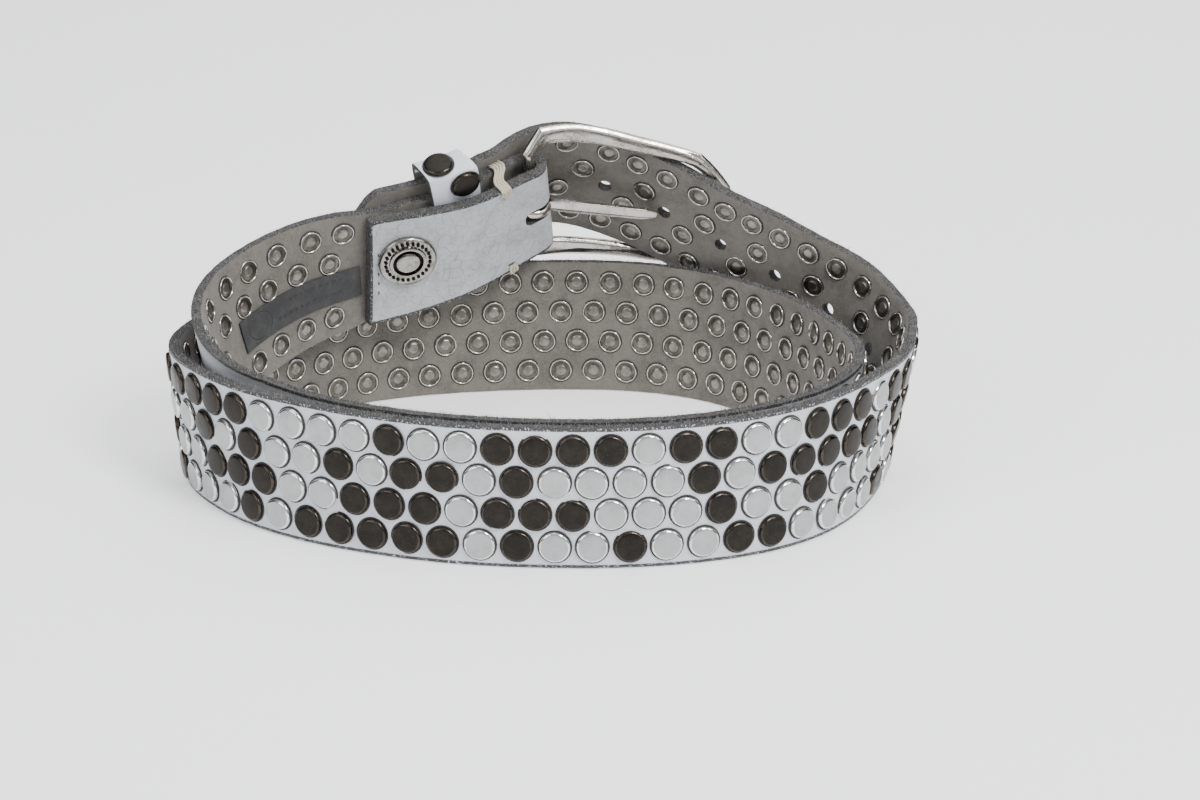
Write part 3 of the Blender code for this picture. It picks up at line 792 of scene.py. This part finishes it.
def makeStrap(looks):
    columns = strapColumns()
    bpy.ops.mesh.primitive_grid_add(x_subdivisions=len(columns) - 1, y_subdivisions=strap["rows"], size=1)
    piece = bpy.context.object
    piece.name = "strapLeather"
    spots = corners(piece)
    column = np.rint((spots[:, 0] + 0.5) * (len(columns) - 1)).astype(int)
    widths = np.array([strapWidth(place) for place in columns])[column]
    spots[:, 1] = coil["beltWidth"] / 2 + spots[:, 1] * widths
    spots[:, 0] = np.array(columns)[column]
    setCorners(piece, spots)
    applyModifier(piece, "SOLIDIFY", thickness=coil["leather"], offset=0.0)
    applyModifier(piece, "BEVEL", width=strap["rounding"], segments=2, limit_method="ANGLE",
                  angle_limit=math.radians(50))
    punch(piece)
    spots = corners(piece)
    half = np.array([strapWidth(place) for place in spots[:, 0]]) / 2
    fromEdge = np.clip(half - np.abs(spots[:, 1] - coil["beltWidth"] / 2), 0, None)
    fromEnds = np.clip(np.minimum(beltEnd - spots[:, 0], spots[:, 0] - flapEnd), 0, None)
    fromEdge = np.minimum(fromEdge, fromEnds)
    # where the two turns lie face to face, painted shade darkens the grain further in from its edge, for
    # the shadowed slit between them
    fadeIn, fadeOut = strap["slitShadeFades"]
    tuckedShade = np.clip((spots[:, 0] - strap["slitShadeStart"]) / fadeIn, 0, 1)
    tuckedShade *= np.clip((beltEnd / 2 - spots[:, 0]) / fadeOut, 0, 1)
    slitShade = tuckedShade * np.clip(strap["slitShadeShare"] - fromEdge / strap["slitShadeWidth"], 0, 1)
    giveAttribute(piece, "fromEdge", fromEdge)
    giveAttribute(piece, "slitShade", slitShade)
    giveMaterials(piece, [looks["paleGrain"], looks["suedeFlesh"], looks["rawEdge"], looks["flapGrain"]])
    for face in piece.data.polygons:
        if face.normal.z > 0.75:
            face.material_index = 3 if face.center.x < 0.0 else 0
        else:
            face.material_index = 1 if face.normal.z < -0.75 else 2
    # the raw edges are a little uneven
    side = np.sign(spots[:, 1] - coil["beltWidth"] / 2)
    for k in np.nonzero(fromEdge < 0.0004)[0]:
        s, v, h = spots[k]
        spots[k, 1] += side[k] * strap["wobble"] * noise.noise(Vector((s * 420, v * 90, h * 500)))
    setCorners(piece, onCoil(spots))
    smooth(piece, 45)
    spots = corners(piece)
    spots[:, 2] = np.maximum(spots[:, 2], 0.0)
    setCorners(piece, spots)
    finishPiece(piece, "strap")
    print("strap made:", len(piece.data.polygons), "faces")


def punch(piece):
    # the holes and the prong's slot, cut through the flat strap
    middle = coil["beltWidth"] / 2
    through = 4 * coil["leather"]
    cutters = []
    for s in holePlaces():
        bpy.ops.mesh.primitive_cylinder_add(vertices=24, radius=strap["holeRadius"], depth=through,
                                            location=(s, middle, 0))
        cutters.append(bpy.context.object)
    low = -foldArc - strap["slotLength"]
    bpy.ops.mesh.primitive_cube_add(size=1, location=((low + strap["slotLength"]) / 2, middle, 0),
                                    scale=(strap["slotLength"] - low, strap["slotWidth"], through))
    slot = bpy.context.object
    inEditMode(slot)
    bpy.ops.mesh.bevel(offset=strap["slotRounding"], segments=5, affect="EDGES")
    bpy.ops.object.mode_set(mode="OBJECT")
    cutter = joinPieces(cutters + [slot], "cutter")
    settle(cutter)
    applyModifier(piece, "BOOLEAN", operation="DIFFERENCE", object=cutter, solver="EXACT")
    bpy.data.objects.remove(cutter, do_unlink=True)


# loose fibres of the raw edges

fibres = {
    "perMetre": 7400,
    "length": (0.0005, 0.0014),
    "strays": 0.022,
    "strayLength": 0.0034,
    "thickness": 0.00006,
    "upperShare": 0.7,
    # roots: their height as a share of the leather, how deep they sit, and the tip's bare end
    "heights": (-0.52, 0.40),
    "rootDepth": 0.00025,
    "tipRoom": 0.001,
    "lean": 0.55,
    "curl": 0.28,
    # where along its length a fibre bends, and how thick it is there
    "bend": (0.55, 0.75),
    "tones": (1.2, 1.7),
    "seed": 11,
}


def makeFibres(looks):
    rng = np.random.default_rng(fibres["seed"])
    run = beltEnd - flapEnd
    count = int(2 * run * fibres["perMetre"])
    s = rng.uniform(flapEnd, beltEnd - fibres["tipRoom"], count)
    side = np.where(rng.random(count) < fibres["upperShare"], 1.0, -1.0)
    half = np.array([strapWidth(place) for place in s]) / 2
    h = rng.uniform(*fibres["heights"], count) * coil["leather"]
    v = coil["beltWidth"] / 2 + side * (half - fibres["rootDepth"])
    low, high = fibres["length"]
    length = rng.uniform(low, high, count)
    stray = rng.random(count) < fibres["strays"]
    length[stray] = rng.uniform(high, fibres["strayLength"], stray.sum())
    lean = rng.normal(0, fibres["lean"], (count, 2))
    roots = np.stack([s, v, h], axis=1)
    reach = np.stack([lean[:, 0], side, lean[:, 1]], axis=1)
    reach /= np.linalg.norm(reach, axis=1)[:, None]
    curl = rng.normal(0, fibres["curl"], (count, 3))
    bendAt, bendThickness = fibres["bend"]
    middles = roots + reach * (length * bendAt)[:, None]
    tips = roots + reach * length[:, None] + curl * length[:, None]
    rootSpots, middleSpots, tipSpots = onCoil(roots), onCoil(middles), onCoil(tips)
    # lower fibres are pressed flat where the belt stands
    for spots in (rootSpots, middleSpots, tipSpots):
        spots[:, 2] = np.maximum(spots[:, 2], 0.00004)
    axis = unit(tipSpots - rootSpots)
    across = unit(np.cross(axis, rng.normal(0, 1, (count, 3))))
    third = np.cross(axis, across)
    rings = []
    for centre, share in ((rootSpots, 1.0), (middleSpots, bendThickness)):
        for k in range(3):
            turn = 2 * math.pi * k / 3
            spoke = across * math.cos(turn) + third * math.sin(turn)
            rings.append(centre + spoke * fibres["thickness"] * share)
    rings.append(tipSpots)
    spots = np.stack(rings, axis=1).reshape(-1, 3)
    faces = []
    for k in range(count):
        a = 7 * k
        faces.append((a + 2, a + 1, a))
        for i in range(3):
            n = (i + 1) % 3
            faces.append((a + i, a + n, a + 3 + n, a + 3 + i))
            faces.append((a + 3 + i, a + 3 + n, a + 6))
    mesh = bpy.data.meshes.new("edgeFibres")
    mesh.from_pydata(spots.tolist(), [], faces)
    piece = linked("edgeFibres", mesh)
    giveAttribute(piece, "tone", np.repeat(rng.beta(*fibres["tones"], count), 7))
    giveMaterials(piece, [looks["looseFibre"]])
    finishPiece(piece)
    print("fibres grown:", count)


# studs and their back rings

def studPlaces():
    # (row from the lower edge, half-pitch number, place along, place up)
    half = studs["pitch"] / 2
    holes = [(place - studs["start"]) / half for place in holePlaces()]
    found = []
    for row in range(4):
        up = studs["margin"] + row * studs["rowSpacing"]
        number = 1 - row % 2
        while True:
            s = studs["start"] + half * number
            if s > beltEnd - studs["tipRoom"]:
                break
            punched = row in (1, 2) and any(abs(number - hole) < studs["holeRoom"] for hole in holes)
            room = strapWidth(s) / 2 - abs(up - coil["beltWidth"] / 2)
            if s > coil["flapLength"] + studs["flapRoom"] and room > studs["radius"] and not punched:
                found.append((row, number, s, up))
            number += 2
    return found


def isDark(row, number, rng):
    start, marks = studs["chart"][3 - row]
    index = int(round(number / 2 - studs["chartMiddle"] - start))
    draw = rng.random()
    if 0 <= index < len(marks):
        return marks[index] == "D"
    return draw < 0.5


def makeStudModel(face, rim, contactShade):
    skirt = studs["skirtDepth"]
    model = newRound(studs["sides"], studs["radius"] + studs["skirt"], skirt)
    turned(model, [(studs["skirt"], 0.0)] + studs["steps"])
    giveMaterials(model, [face, rim, contactShade])
    for polygon in model.data.polygons:
        far = math.hypot(polygon.center.x, polygon.center.y)
        # the skirt is painted contact shadow, a dark ring on the leather round the foot
        if polygon.center.z < skirt * 1.05:
            polygon.material_index = 2
        elif polygon.normal.z < 0.97 or far > studs["radius"] - studs["rimWidth"]:
            polygon.material_index = 1
    faceOut(model)
    smooth(model, 50)
    return model


ring = {"radius": 0.0034, "skirt": 0.00034, "depth": 0.0003, "rise": 0.0001, "sides": 20,
        "middle": 0.0016, "tilt": 1.4,
        # inset and rise from the skirt inwards
        "steps": [(0.0, 0.00022), (0.00008, 0.00014), (0.00014, 0.00008), (0.00014, -0.00004),
                  (0.00014, -0.00016), (0.00006, -0.00020)],
        "dome": [(0.00012, 0.00014), (0.0003, 0.00003)]}


def makeRingModel(shine, hollowLook, middle, contactShade):
    model = newRound(ring["sides"], ring["radius"] + ring["skirt"], ring["depth"],
                     ring["rise"] - ring["depth"])
    inner = ring["radius"] - sum(inset for inset, rise in ring["steps"])
    hollow = [(inner - ring["middle"], 0.0)]
    turned(model, [(ring["skirt"], 0.0)] + ring["steps"] + hollow + ring["dome"])
    faceOut(model)
    giveMaterials(model, [shine, hollowLook, middle, contactShade])
    for polygon in model.data.polygons:
        far = math.hypot(polygon.center.x, polygon.center.y)
        # the skirt is painted contact shadow, a dark ring on the leather round the ring's foot
        if polygon.center.z < ring["rise"] * 1.1 and far > ring["radius"] - 0.00002:
            polygon.material_index = 3
        elif far < ring["middle"]:
            polygon.material_index = 2
        elif far < inner:
            polygon.material_index = 1
    smooth(model, 50)
    return model


def jitter(rng, degrees):
    tilt = Matrix.Rotation(math.radians(rng.gauss(0, degrees)), 4, "X")
    lean = Matrix.Rotation(math.radians(rng.gauss(0, degrees)), 4, "Y")
    turn = Matrix.Rotation(rng.uniform(0, 2 * math.pi), 4, "Z")
    slide = Matrix.Translation((rng.gauss(0, studs["slide"]), rng.gauss(0, studs["slide"]), 0))
    return slide @ tilt @ lean @ turn


def buried(s, up, h):
    # whether a place off the belt's surface lies inside another part of the coil
    spot = onCoil([(s, up, h)])[0] - np.array(coil["shift"])
    other = np.abs(course["s"] - s) > studs["otherTurn"]
    away = spot - course["base"][other]
    along = np.einsum("ij,ij->i", away, course["tangent"][other])
    rise = np.einsum("ij,ij->i", away, course["width"][other])
    depth = np.einsum("ij,ij->i", away, course["normal"][other])
    near, edge, face = studs["slack"]
    inside = (np.abs(along) < near) & (rise > -edge) & (rise < coil["beltWidth"] + edge)
    return bool(np.any(inside & (np.abs(depth) < coil["leather"] / 2 + face)))


def makeStuds(looks):
    rng = random.Random(studs["seed"])
    top = coil["leather"] / 2
    places = {"silver": [], "dark": []}
    rings = []
    contactShade = looks["studContactShade"]
    flip = Matrix.Rotation(math.pi, 4, "X")
    labelStart = size["start"] - studs["labelRoom"]
    labelEnd = size["start"] + size["length"] + studs["labelRoom"]
    gapX, gapY = studs["gapCorner"]
    for row, number, s, up in studPlaces():
        kind = "dark" if isDark(row, number, rng) else "silver"
        spot = onCoil([(s, up, 0)])[0]
        # the inner turn's top row is left out where it would stand in the gap at the left
        hidden = row == 3 and s < beltEnd / 2 and spot[0] < gapX and spot[1] < gapY
        if not hidden and not buried(s, up, top + studs["height"]):
            places[kind].append(seat(s, up, top - studs["sink"]) @ jitter(rng, studs["tilt"]))
        covered = row == 1 and labelStart < s < labelEnd or s >= barAt - studs["barRoom"]
        if not covered and not buried(s, up, -top - studs["ringHeight"]):
            rings.append(seat(s, up, -top - studs["ringSink"]) @ flip @ jitter(rng, ring["tilt"]))
    for kind, face, rim in (("silver", "silverFace", "silverRim"), ("dark", "darkFace", "darkRim")):
        model = makeStudModel(looks[face], looks[rim], contactShade)
        piece = strew(model, places[kind], kind + "Studs")
        finishPiece(piece)
        print(kind, "studs set:", len(places[kind]))
    model = makeRingModel(looks["ringNickel"], looks["ringHollow"], looks["ringMiddle"], contactShade)
    piece = strew(model, rings, "backRings")
    finishPiece(piece)
    print("back rings set:", len(rings))


# buckle

buckle = {
    "rounding": 0.0006,
    "dents": 0.00010,
    "dentSize": 0.008,
    "prongLength": 0.0403,
    "prongWidth": 0.0052,
    "prongThickness": 0.0028,
    "prongGap": 0.0006,
    "prongTaper": 0.1,
    "prongDents": 0.00004,
    "prongDentSize": 0.006,
    # stretch (a share of the length) and how much narrower at its end
    "neck": (0.12, 0.28),
    "point": (0.08, 0.45),
    "pointThinning": 0.4,
    # how far and how steeply the two facets fall from the ridge
    "facets": (0.62, 1.2),
    "eyeRadius": 0.0047,
    "eyeThickness": 0.0023,
    "eyeStretch": 1.45,
}


def copyNode(node, name):
    piece = linked(name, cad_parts[node].data.copy())
    inEditMode(piece)
    bpy.ops.mesh.remove_doubles(threshold=0.00001)
    bpy.ops.mesh.tris_convert_to_quads(face_threshold=math.radians(60), shape_threshold=math.radians(60))
    bpy.ops.object.mode_set(mode="OBJECT")
    return piece


def dent(piece, amount, size, seed):
    # small uneven dents, as cast and worn metal has
    spots = corners(piece)
    normals = np.empty(len(spots) * 3)
    piece.data.vertices.foreach_get("normal", normals)
    normals = normals.reshape(-1, 3)
    for k, spot in enumerate(spots):
        where = Vector(spot) / size + Vector((seed, 0, 0))
        spots[k] = spot + normals[k] * amount * noise.fractal(where, 0.8, 2.0, 3)
    setCorners(piece, spots)


def makeBuckle(looks):
    piece = copyNode("buckle_frame", "castFrame")
    applyModifier(piece, "BEVEL", width=buckle["rounding"], segments=2, limit_method="ANGLE",
                  angle_limit=math.radians(24))
    applyModifier(piece, "SUBSURF", levels=1, render_levels=1)
    dent(piece, buckle["dents"], buckle["dentSize"], 3.0)
    giveMaterials(piece, [looks["castSilver"]])
    smooth(piece, 40)
    finishPiece(piece, "buckle_frame")
    print("buckle frame made")


def makeProng(looks):
    # a roof-topped shank and the ring that holds it to the bar
    middle = coil["beltWidth"] / 2
    axis = Vector(onCoil([(-foldArc / 2, middle, -coil["foldRadius"])])[0])
    touch = -coil["leather"] / 2 - buckle["prongGap"] - buckle["prongThickness"] / 2
    tip = Vector(onCoil([(barAt - buckle["prongLength"], middle, touch)])[0])
    up = Vector(onCoil([(0, middle + 0.001, 0)])[0] - onCoil([(0, middle, 0)])[0]).normalized()
    away = (tip - axis).normalized()
    out = away.cross(up).normalized()
    up = out.cross(away)
    stand = Matrix.Translation(axis) @ Matrix((away, up, out)).transposed().to_4x4()
    start = buckle["eyeRadius"]
    length = (tip - axis).length - start
    bpy.ops.mesh.primitive_cube_add(size=1, location=(start + length / 2, 0, 0),
                                    scale=(length, buckle["prongWidth"], buckle["prongThickness"]))
    shank = bpy.context.object
    shank.name = "prongShank"
    settle(shank)
    inEditMode(shank)
    bpy.ops.mesh.subdivide(number_cuts=9)
    bpy.ops.object.mode_set(mode="OBJECT")
    spots = corners(shank)
    along = (spots[:, 0] - start) / length
    neck, neckLoss = buckle["neck"]
    point, pointLoss = buckle["point"]
    pointed = np.clip((along - 1 + point) / point, 0, 1)
    # two long facets that meet in a ridge, and a rounded underside
    fall, power = buckle["facets"]
    across = np.abs(spots[:, 1]) / (buckle["prongWidth"] / 2)
    spots[:, 2] *= (1 - fall * across ** power) * (1 - buckle["pointThinning"] * pointed)
    spots[:, 1] *= (1 - buckle["prongTaper"] * along) * (1 - pointLoss * pointed)
    spots[:, 1] *= 1 - neckLoss * np.clip(1 - along / neck, 0, 1)
    setCorners(shank, spots)
    applyModifier(shank, "SUBSURF", levels=1, render_levels=1)
    bpy.ops.mesh.primitive_torus_add(
        major_segments=44, minor_segments=14, major_radius=buckle["eyeRadius"],
        minor_radius=buckle["eyeThickness"] / 2, rotation=(math.radians(90), 0, 0))
    eye = bpy.context.object
    settle(eye)
    spots = corners(eye)
    spots[:, 1] *= buckle["eyeStretch"]
    setCorners(eye, spots)
    applyModifier(shank, "BOOLEAN", operation="UNION", object=eye, solver="EXACT")
    bpy.data.objects.remove(eye, do_unlink=True)
    shank.data.transform(stand)
    dent(shank, buckle["prongDents"], buckle["prongDentSize"], 8.0)
    giveMaterials(shank, [looks["prongSilver"]])
    smooth(shank, 50)
    finishPiece(shank, "buckle_prong")
    print("prong made")


# keeper

keeper = {
    "place": 0.0250,
    "clearance": 0.0007,
    "thickness": 0.0016,
    "headroom": 0.0044,
    "rounding": 0.00025,
    "centreRise": 0.003,
    # studs: two staggered columns on the outer side, and one on the inner side below the top
    "stagger": 0.0019,
    "firstStud": 0.0055,
    "spacing": 0.0086,
    "frontCount": 5,
    "backStud": 0.0052,
    "studSink": 0.00015,
    "crownSink": 0.00012,
    "crownShift": 0.0002,
}


def makeKeeper(looks):
    piece = copyNode("keeper_loop", "keeperBand")
    applyModifier(piece, "BEVEL", width=keeper["rounding"], segments=2, limit_method="ANGLE",
                  angle_limit=math.radians(50))
    applyModifier(piece, "SUBSURF", levels=2, render_levels=2)
    giveMaterials(piece, [looks["keeperGrain"], looks["suedeFlesh"], looks["rawEdge"]])
    home = seat(keeper["place"], coil["beltWidth"] / 2, layer / 2).inverted()
    turnOnly = home.to_3x3()
    high = (coil["beltWidth"] + coil["tipRise"] + keeper["headroom"] + keeper["clearance"]) / 2
    for face in piece.data.polygons:
        centre = home @ face.center
        normal = turnOnly @ face.normal
        if abs(normal.x) > 0.6:
            face.material_index = 2
            continue
        rise = centre.y - keeper["centreRise"]
        inwards = -normal.y * rise
        if abs(rise) < high * 0.86:
            inwards = inwards * 0.05 - normal.z * centre.z
        face.material_index = 1 if inwards > 0 else 0
    smooth(piece, 60)
    finishPiece(piece, "keeper_loop")
    # studs: round the outer side, over the top and just inside it, in two staggered columns
    model = makeStudModel(looks["darkFace"], looks["darkRim"], looks["studContactShade"])
    top = coil["leather"] / 2
    front = layer + top + keeper["clearance"] + keeper["thickness"]
    back = -top - keeper["clearance"] - keeper["thickness"]
    crown = coil["beltWidth"] + coil["tipRise"] + keeper["headroom"] + keeper["thickness"]
    places = []
    for k in range(keeper["frontCount"]):
        s = keeper["place"] + keeper["stagger"] * (1 if k % 2 else -1)
        places.append(seat(s, keeper["firstStud"] + keeper["spacing"] * k, front - keeper["studSink"]))
    flip = Matrix.Rotation(math.pi, 4, "X")
    tip = Matrix.Rotation(-math.pi / 2, 4, "X")
    over = seat(keeper["place"] + keeper["stagger"], crown - keeper["crownSink"],
                layer / 2 + keeper["crownShift"])
    places.append(over @ tip)
    inner = seat(keeper["place"] - keeper["stagger"], crown - keeper["backStud"], back + keeper["studSink"])
    places.append(inner @ flip)
    studded = strew(model, places, "keeperStuds")
    finishPiece(studded)
    print("keeper made")


# snap

snap = {
    "radius": 0.0087,
    "depth": 0.0009,
    "place": 0.0438,
    "rise": 0.0025,
    "gap": 0.0001,
    "sides": 56,
    # inset and rise from the outer edge to the middle
    "steps": [(0.00018, 0.00035), (0.00030, 0.00022), (0.00035, -0.00012), (0.00030, -0.00012),
              (0.00190, 0.0), (0.00020, 0.00055), (0.00035, 0.00018), (0.00050, -0.00006),
              (0.00015, -0.00105), (0.00080, 0.0), (0.00020, 0.00095), (0.00045, 0.00025),
              (0.0007, 0.00010)],
    # from the middle: where the dark recess lies, and how high it may reach
    "recess": (0.0032, 0.0045),
    "recessHeight": 0.0013,
    "dots": 26,
    "dotRadius": 0.00052,
    "dotDepth": 0.0005,
    "dotRing": 0.0066,
    "dotHeight": 0.00108,
}


def makeSnap(looks):
    piece = newRound(snap["sides"], snap["radius"], snap["depth"])
    piece.name = "snapCap"
    turned(piece, snap["steps"])
    faceOut(piece)
    giveMaterials(piece, [looks["snapNickel"], looks["snapRecess"]])
    low, high = snap["recess"]
    for face in piece.data.polygons:
        far = math.hypot(face.center.x, face.center.y)
        if low < far < high and face.center.z < snap["recessHeight"]:
            face.material_index = 1
    place = seat(-foldArc - snap["place"], coil["beltWidth"] / 2 + snap["rise"],
                 coil["leather"] / 2 + snap["gap"])
    # a ring of small raised dots stands where the real one has lettering
    dot = newRound(10, snap["dotRadius"], snap["dotDepth"])
    turned(dot, [(0.0001, 0.00008)])
    giveMaterials(dot, [looks["snapRecess"]])
    spots = []
    for k in range(snap["dots"]):
        turn = Matrix.Rotation(2 * math.pi * k / snap["dots"], 4, "Z")
        spots.append(place @ turn @ Matrix.Translation((snap["dotRing"], 0, snap["dotHeight"])))
    dots = strew(dot, spots, "snapDots")
    piece.data.transform(place)
    smooth(piece, 35)
    finishPiece(piece, "snap_button")
    finishPiece(dots)
    print("snap made")


# size label

size = {
    "start": 0.0597,
    "length": 0.0446,
    "low": 0.0113,
    "high": 0.0215,
    "thickness": 0.0006,
    "gap": 0.00015,
    "rounding": 0.00018,
    "stations": 24,
    # plain marks: an empty oval, and rows of short bars as (offset from the middle, count)
    "ovalFromEnd": 0.0078,
    "ovalRadius": 0.0040,
    "ovalLine": 0.00022,
    "ovalShape": (1.25, 1.0, 0.5),
    "barRows": [(0.0021, 9), (-0.0021, 11)],
    "barsFromStart": 0.007,
    "barWidths": (0.0009, 0.0014),
    "barGap": 0.0010,
    "barHalf": 0.0009,
    "barRounding": 0.00008,
}


def flatBar(low, high, rounding):
    # a box between two corners
    low, high = Vector(low), Vector(high)
    bpy.ops.mesh.primitive_cube_add(size=1, location=(low + high) / 2, scale=high - low)
    bar = bpy.context.object
    settle(bar)
    applyModifier(bar, "BEVEL", width=rounding, segments=2, limit_method="NONE")
    return bar


def makeLabel(looks):
    near = -coil["leather"] / 2 - size["gap"]
    far = near - size["thickness"]
    end = size["start"] + size["length"]
    piece = flatBar((size["start"], size["low"], far), (end, size["high"], near), size["rounding"])
    piece.name = "labelPatch"
    bpy.ops.object.mode_set(mode="EDIT")
    for k in range(1, size["stations"]):
        bpy.ops.mesh.select_all(action="SELECT")
        place = size["start"] + size["length"] * k / size["stations"]
        bpy.ops.mesh.bisect(plane_co=(place, 0, 0), plane_no=(1, 0, 0))
    bpy.ops.object.mode_set(mode="OBJECT")
    giveMaterials(piece, [looks["labelPatch"]])
    setCorners(piece, onCoil(corners(piece)))
    smooth(piece, 40)
    finishPiece(piece, "size_label")
    middle = (size["low"] + size["high"]) / 2
    bpy.ops.mesh.primitive_torus_add(
        major_segments=48, minor_segments=8, major_radius=size["ovalRadius"],
        minor_radius=size["ovalLine"], location=(end - size["ovalFromEnd"], middle, far))
    oval = bpy.context.object
    oval.scale = size["ovalShape"]
    settle(oval)
    marks = [oval]
    rng = random.Random(4)
    for offset, count in size["barRows"]:
        x = size["start"] + size["barsFromStart"]
        y = middle + offset
        for k in range(count):
            wide = rng.choice(size["barWidths"])
            marks.append(flatBar((x, y - size["barHalf"], far - 0.00006),
                                 (x + wide, y + size["barHalf"], far + 0.0001), size["barRounding"]))
            x += wide + size["barGap"]
    joined = joinPieces(marks, "labelMarks")
    setCorners(joined, onCoil(corners(joined)))
    giveMaterials(joined, [looks["labelMark"]])
    smooth(joined, 40)
    finishPiece(joined)
    print("label made")


# thread wraps and stitches

thread = {
    "radius": 0.00046,
    "upperStrands": 4,
    "lowerStrands": 3,
    "step": 0.00105,
    "gatheredStep": 0.0003,
    "slack": 0.0002,
    "place": 0.0129,
    "behind": 0.0085,
    "fromEdge": 0.0030,
    # the dark slits where the strands go in
    "slitHalf": 0.0011,
    "slitRadius": 0.00034,
    "slitIn": 0.0003,
    # the row of stitches at the flap's end
    "stitchRadius": 0.00022,
    "stitchHalf": 0.0005,
    "stitchCount": 5,
    "stitchSpacing": 0.0034,
    "stitchStart": -0.0073,
    "stitchFromEnd": 0.0030,
}


def tube(path, radius, name):
    # a round cord through places laid out flat, as a mesh
    data = bpy.data.curves.new(name, "CURVE")
    data.dimensions = "3D"
    data.bevel_depth = radius
    data.bevel_resolution = 2
    data.resolution_u = 6
    data.use_fill_caps = True
    line = data.splines.new("BEZIER")
    line.bezier_points.add(len(path) - 1)
    for knot, spot in zip(line.bezier_points, onCoil(path)):
        knot.co = spot
        knot.handle_left_type = "AUTO"
        knot.handle_right_type = "AUTO"
    lookAtOnly(linked(name, data))
    bpy.ops.object.convert(target="MESH")
    return bpy.context.object


def strandPath(side, k, slack):
    # from the flap's face over both edges to the strap's face; side 1 is the upper edge
    top = coil["leather"] / 2
    out = top + thread["radius"]
    aside = k - 1.5
    flap = -foldArc - thread["place"] - aside * thread["step"]
    back = thread["behind"] + aside * thread["step"]
    gathered = -foldArc - thread["place"] - aside * thread["gatheredStep"]
    radius = thread["radius"]
    # past the edge, place along, height off the middle of the leather
    steps = [(-thread["fromEdge"], gathered, out - 0.0003), (-thread["fromEdge"] * 0.5, flap, out),
             (0.0001, flap, out), (radius + 0.0002, flap, top * 0.4), (radius + 0.0004, flap, -top),
             (radius + 0.0005 + slack, back, -top * 0.8), (radius + 0.0002, back, top * 0.5),
             (-0.0004, back, out - 0.0002), (-thread["fromEdge"], back, top * 0.6)]
    path = []
    for past, s, h in steps:
        half = (coil["flapWidth"] if s < 0 else strapWidth(s)) / 2
        path.append((s, coil["beltWidth"] / 2 + side * (half + past), h))
    return path


def makeThreads(looks):
    top = coil["leather"] / 2
    middle = coil["beltWidth"] / 2
    rng = random.Random(2)
    strands = []
    for side, count in ((1, thread["upperStrands"]), (-1, thread["lowerStrands"])):
        for k in range(count):
            path = strandPath(side, k, rng.uniform(0, thread["slack"]))
            strands.append(tube(path, thread["radius"], "threadStrand"))
    stitches = []
    s = flapEnd + thread["stitchFromEnd"]
    for k in range(thread["stitchCount"]):
        v = middle + thread["stitchStart"] + thread["stitchSpacing"] * k
        path = [(s, v - thread["stitchHalf"], top - 0.0002), (s, v, top + 0.00012),
                (s, v + thread["stitchHalf"], top - 0.0002)]
        stitches.append(tube(path, thread["stitchRadius"], "stitch"))
    s = -foldArc - thread["place"]
    for side in (1, -1):
        v = middle + side * (coil["flapWidth"] / 2 - thread["fromEdge"] - thread["slitIn"])
        path = [(s - thread["slitHalf"], v, top - 0.0001), (s, v, top),
                (s + thread["slitHalf"], v, top - 0.0001)]
        stitches.append(tube(path, thread["slitRadius"], "stitch"))
    for cords, name, look in ((strands, "threadWraps", "waxedThread"),
                              (stitches, "flapStitches", "darkStitch")):
        piece = joinPieces(cords, name)
        giveMaterials(piece, [looks[look]])
        smooth(piece, 60)
        finishPiece(piece)
    print("thread and stitches made")


# build

groups = buildGroups()
looks = {}
for makeLooks in (makeLeathers, makeMetals, makePlainOnes):
    makeLooks(groups, looks)
makeCamera()
giveMaterials(makeStudio(), [looks["paleFloor"]])
for makePiece in (makeStrap, makeFibres, makeStuds, makeBuckle, makeProng, makeKeeper, makeSnap, makeLabel,
                  makeThreads):
    makePiece(looks)
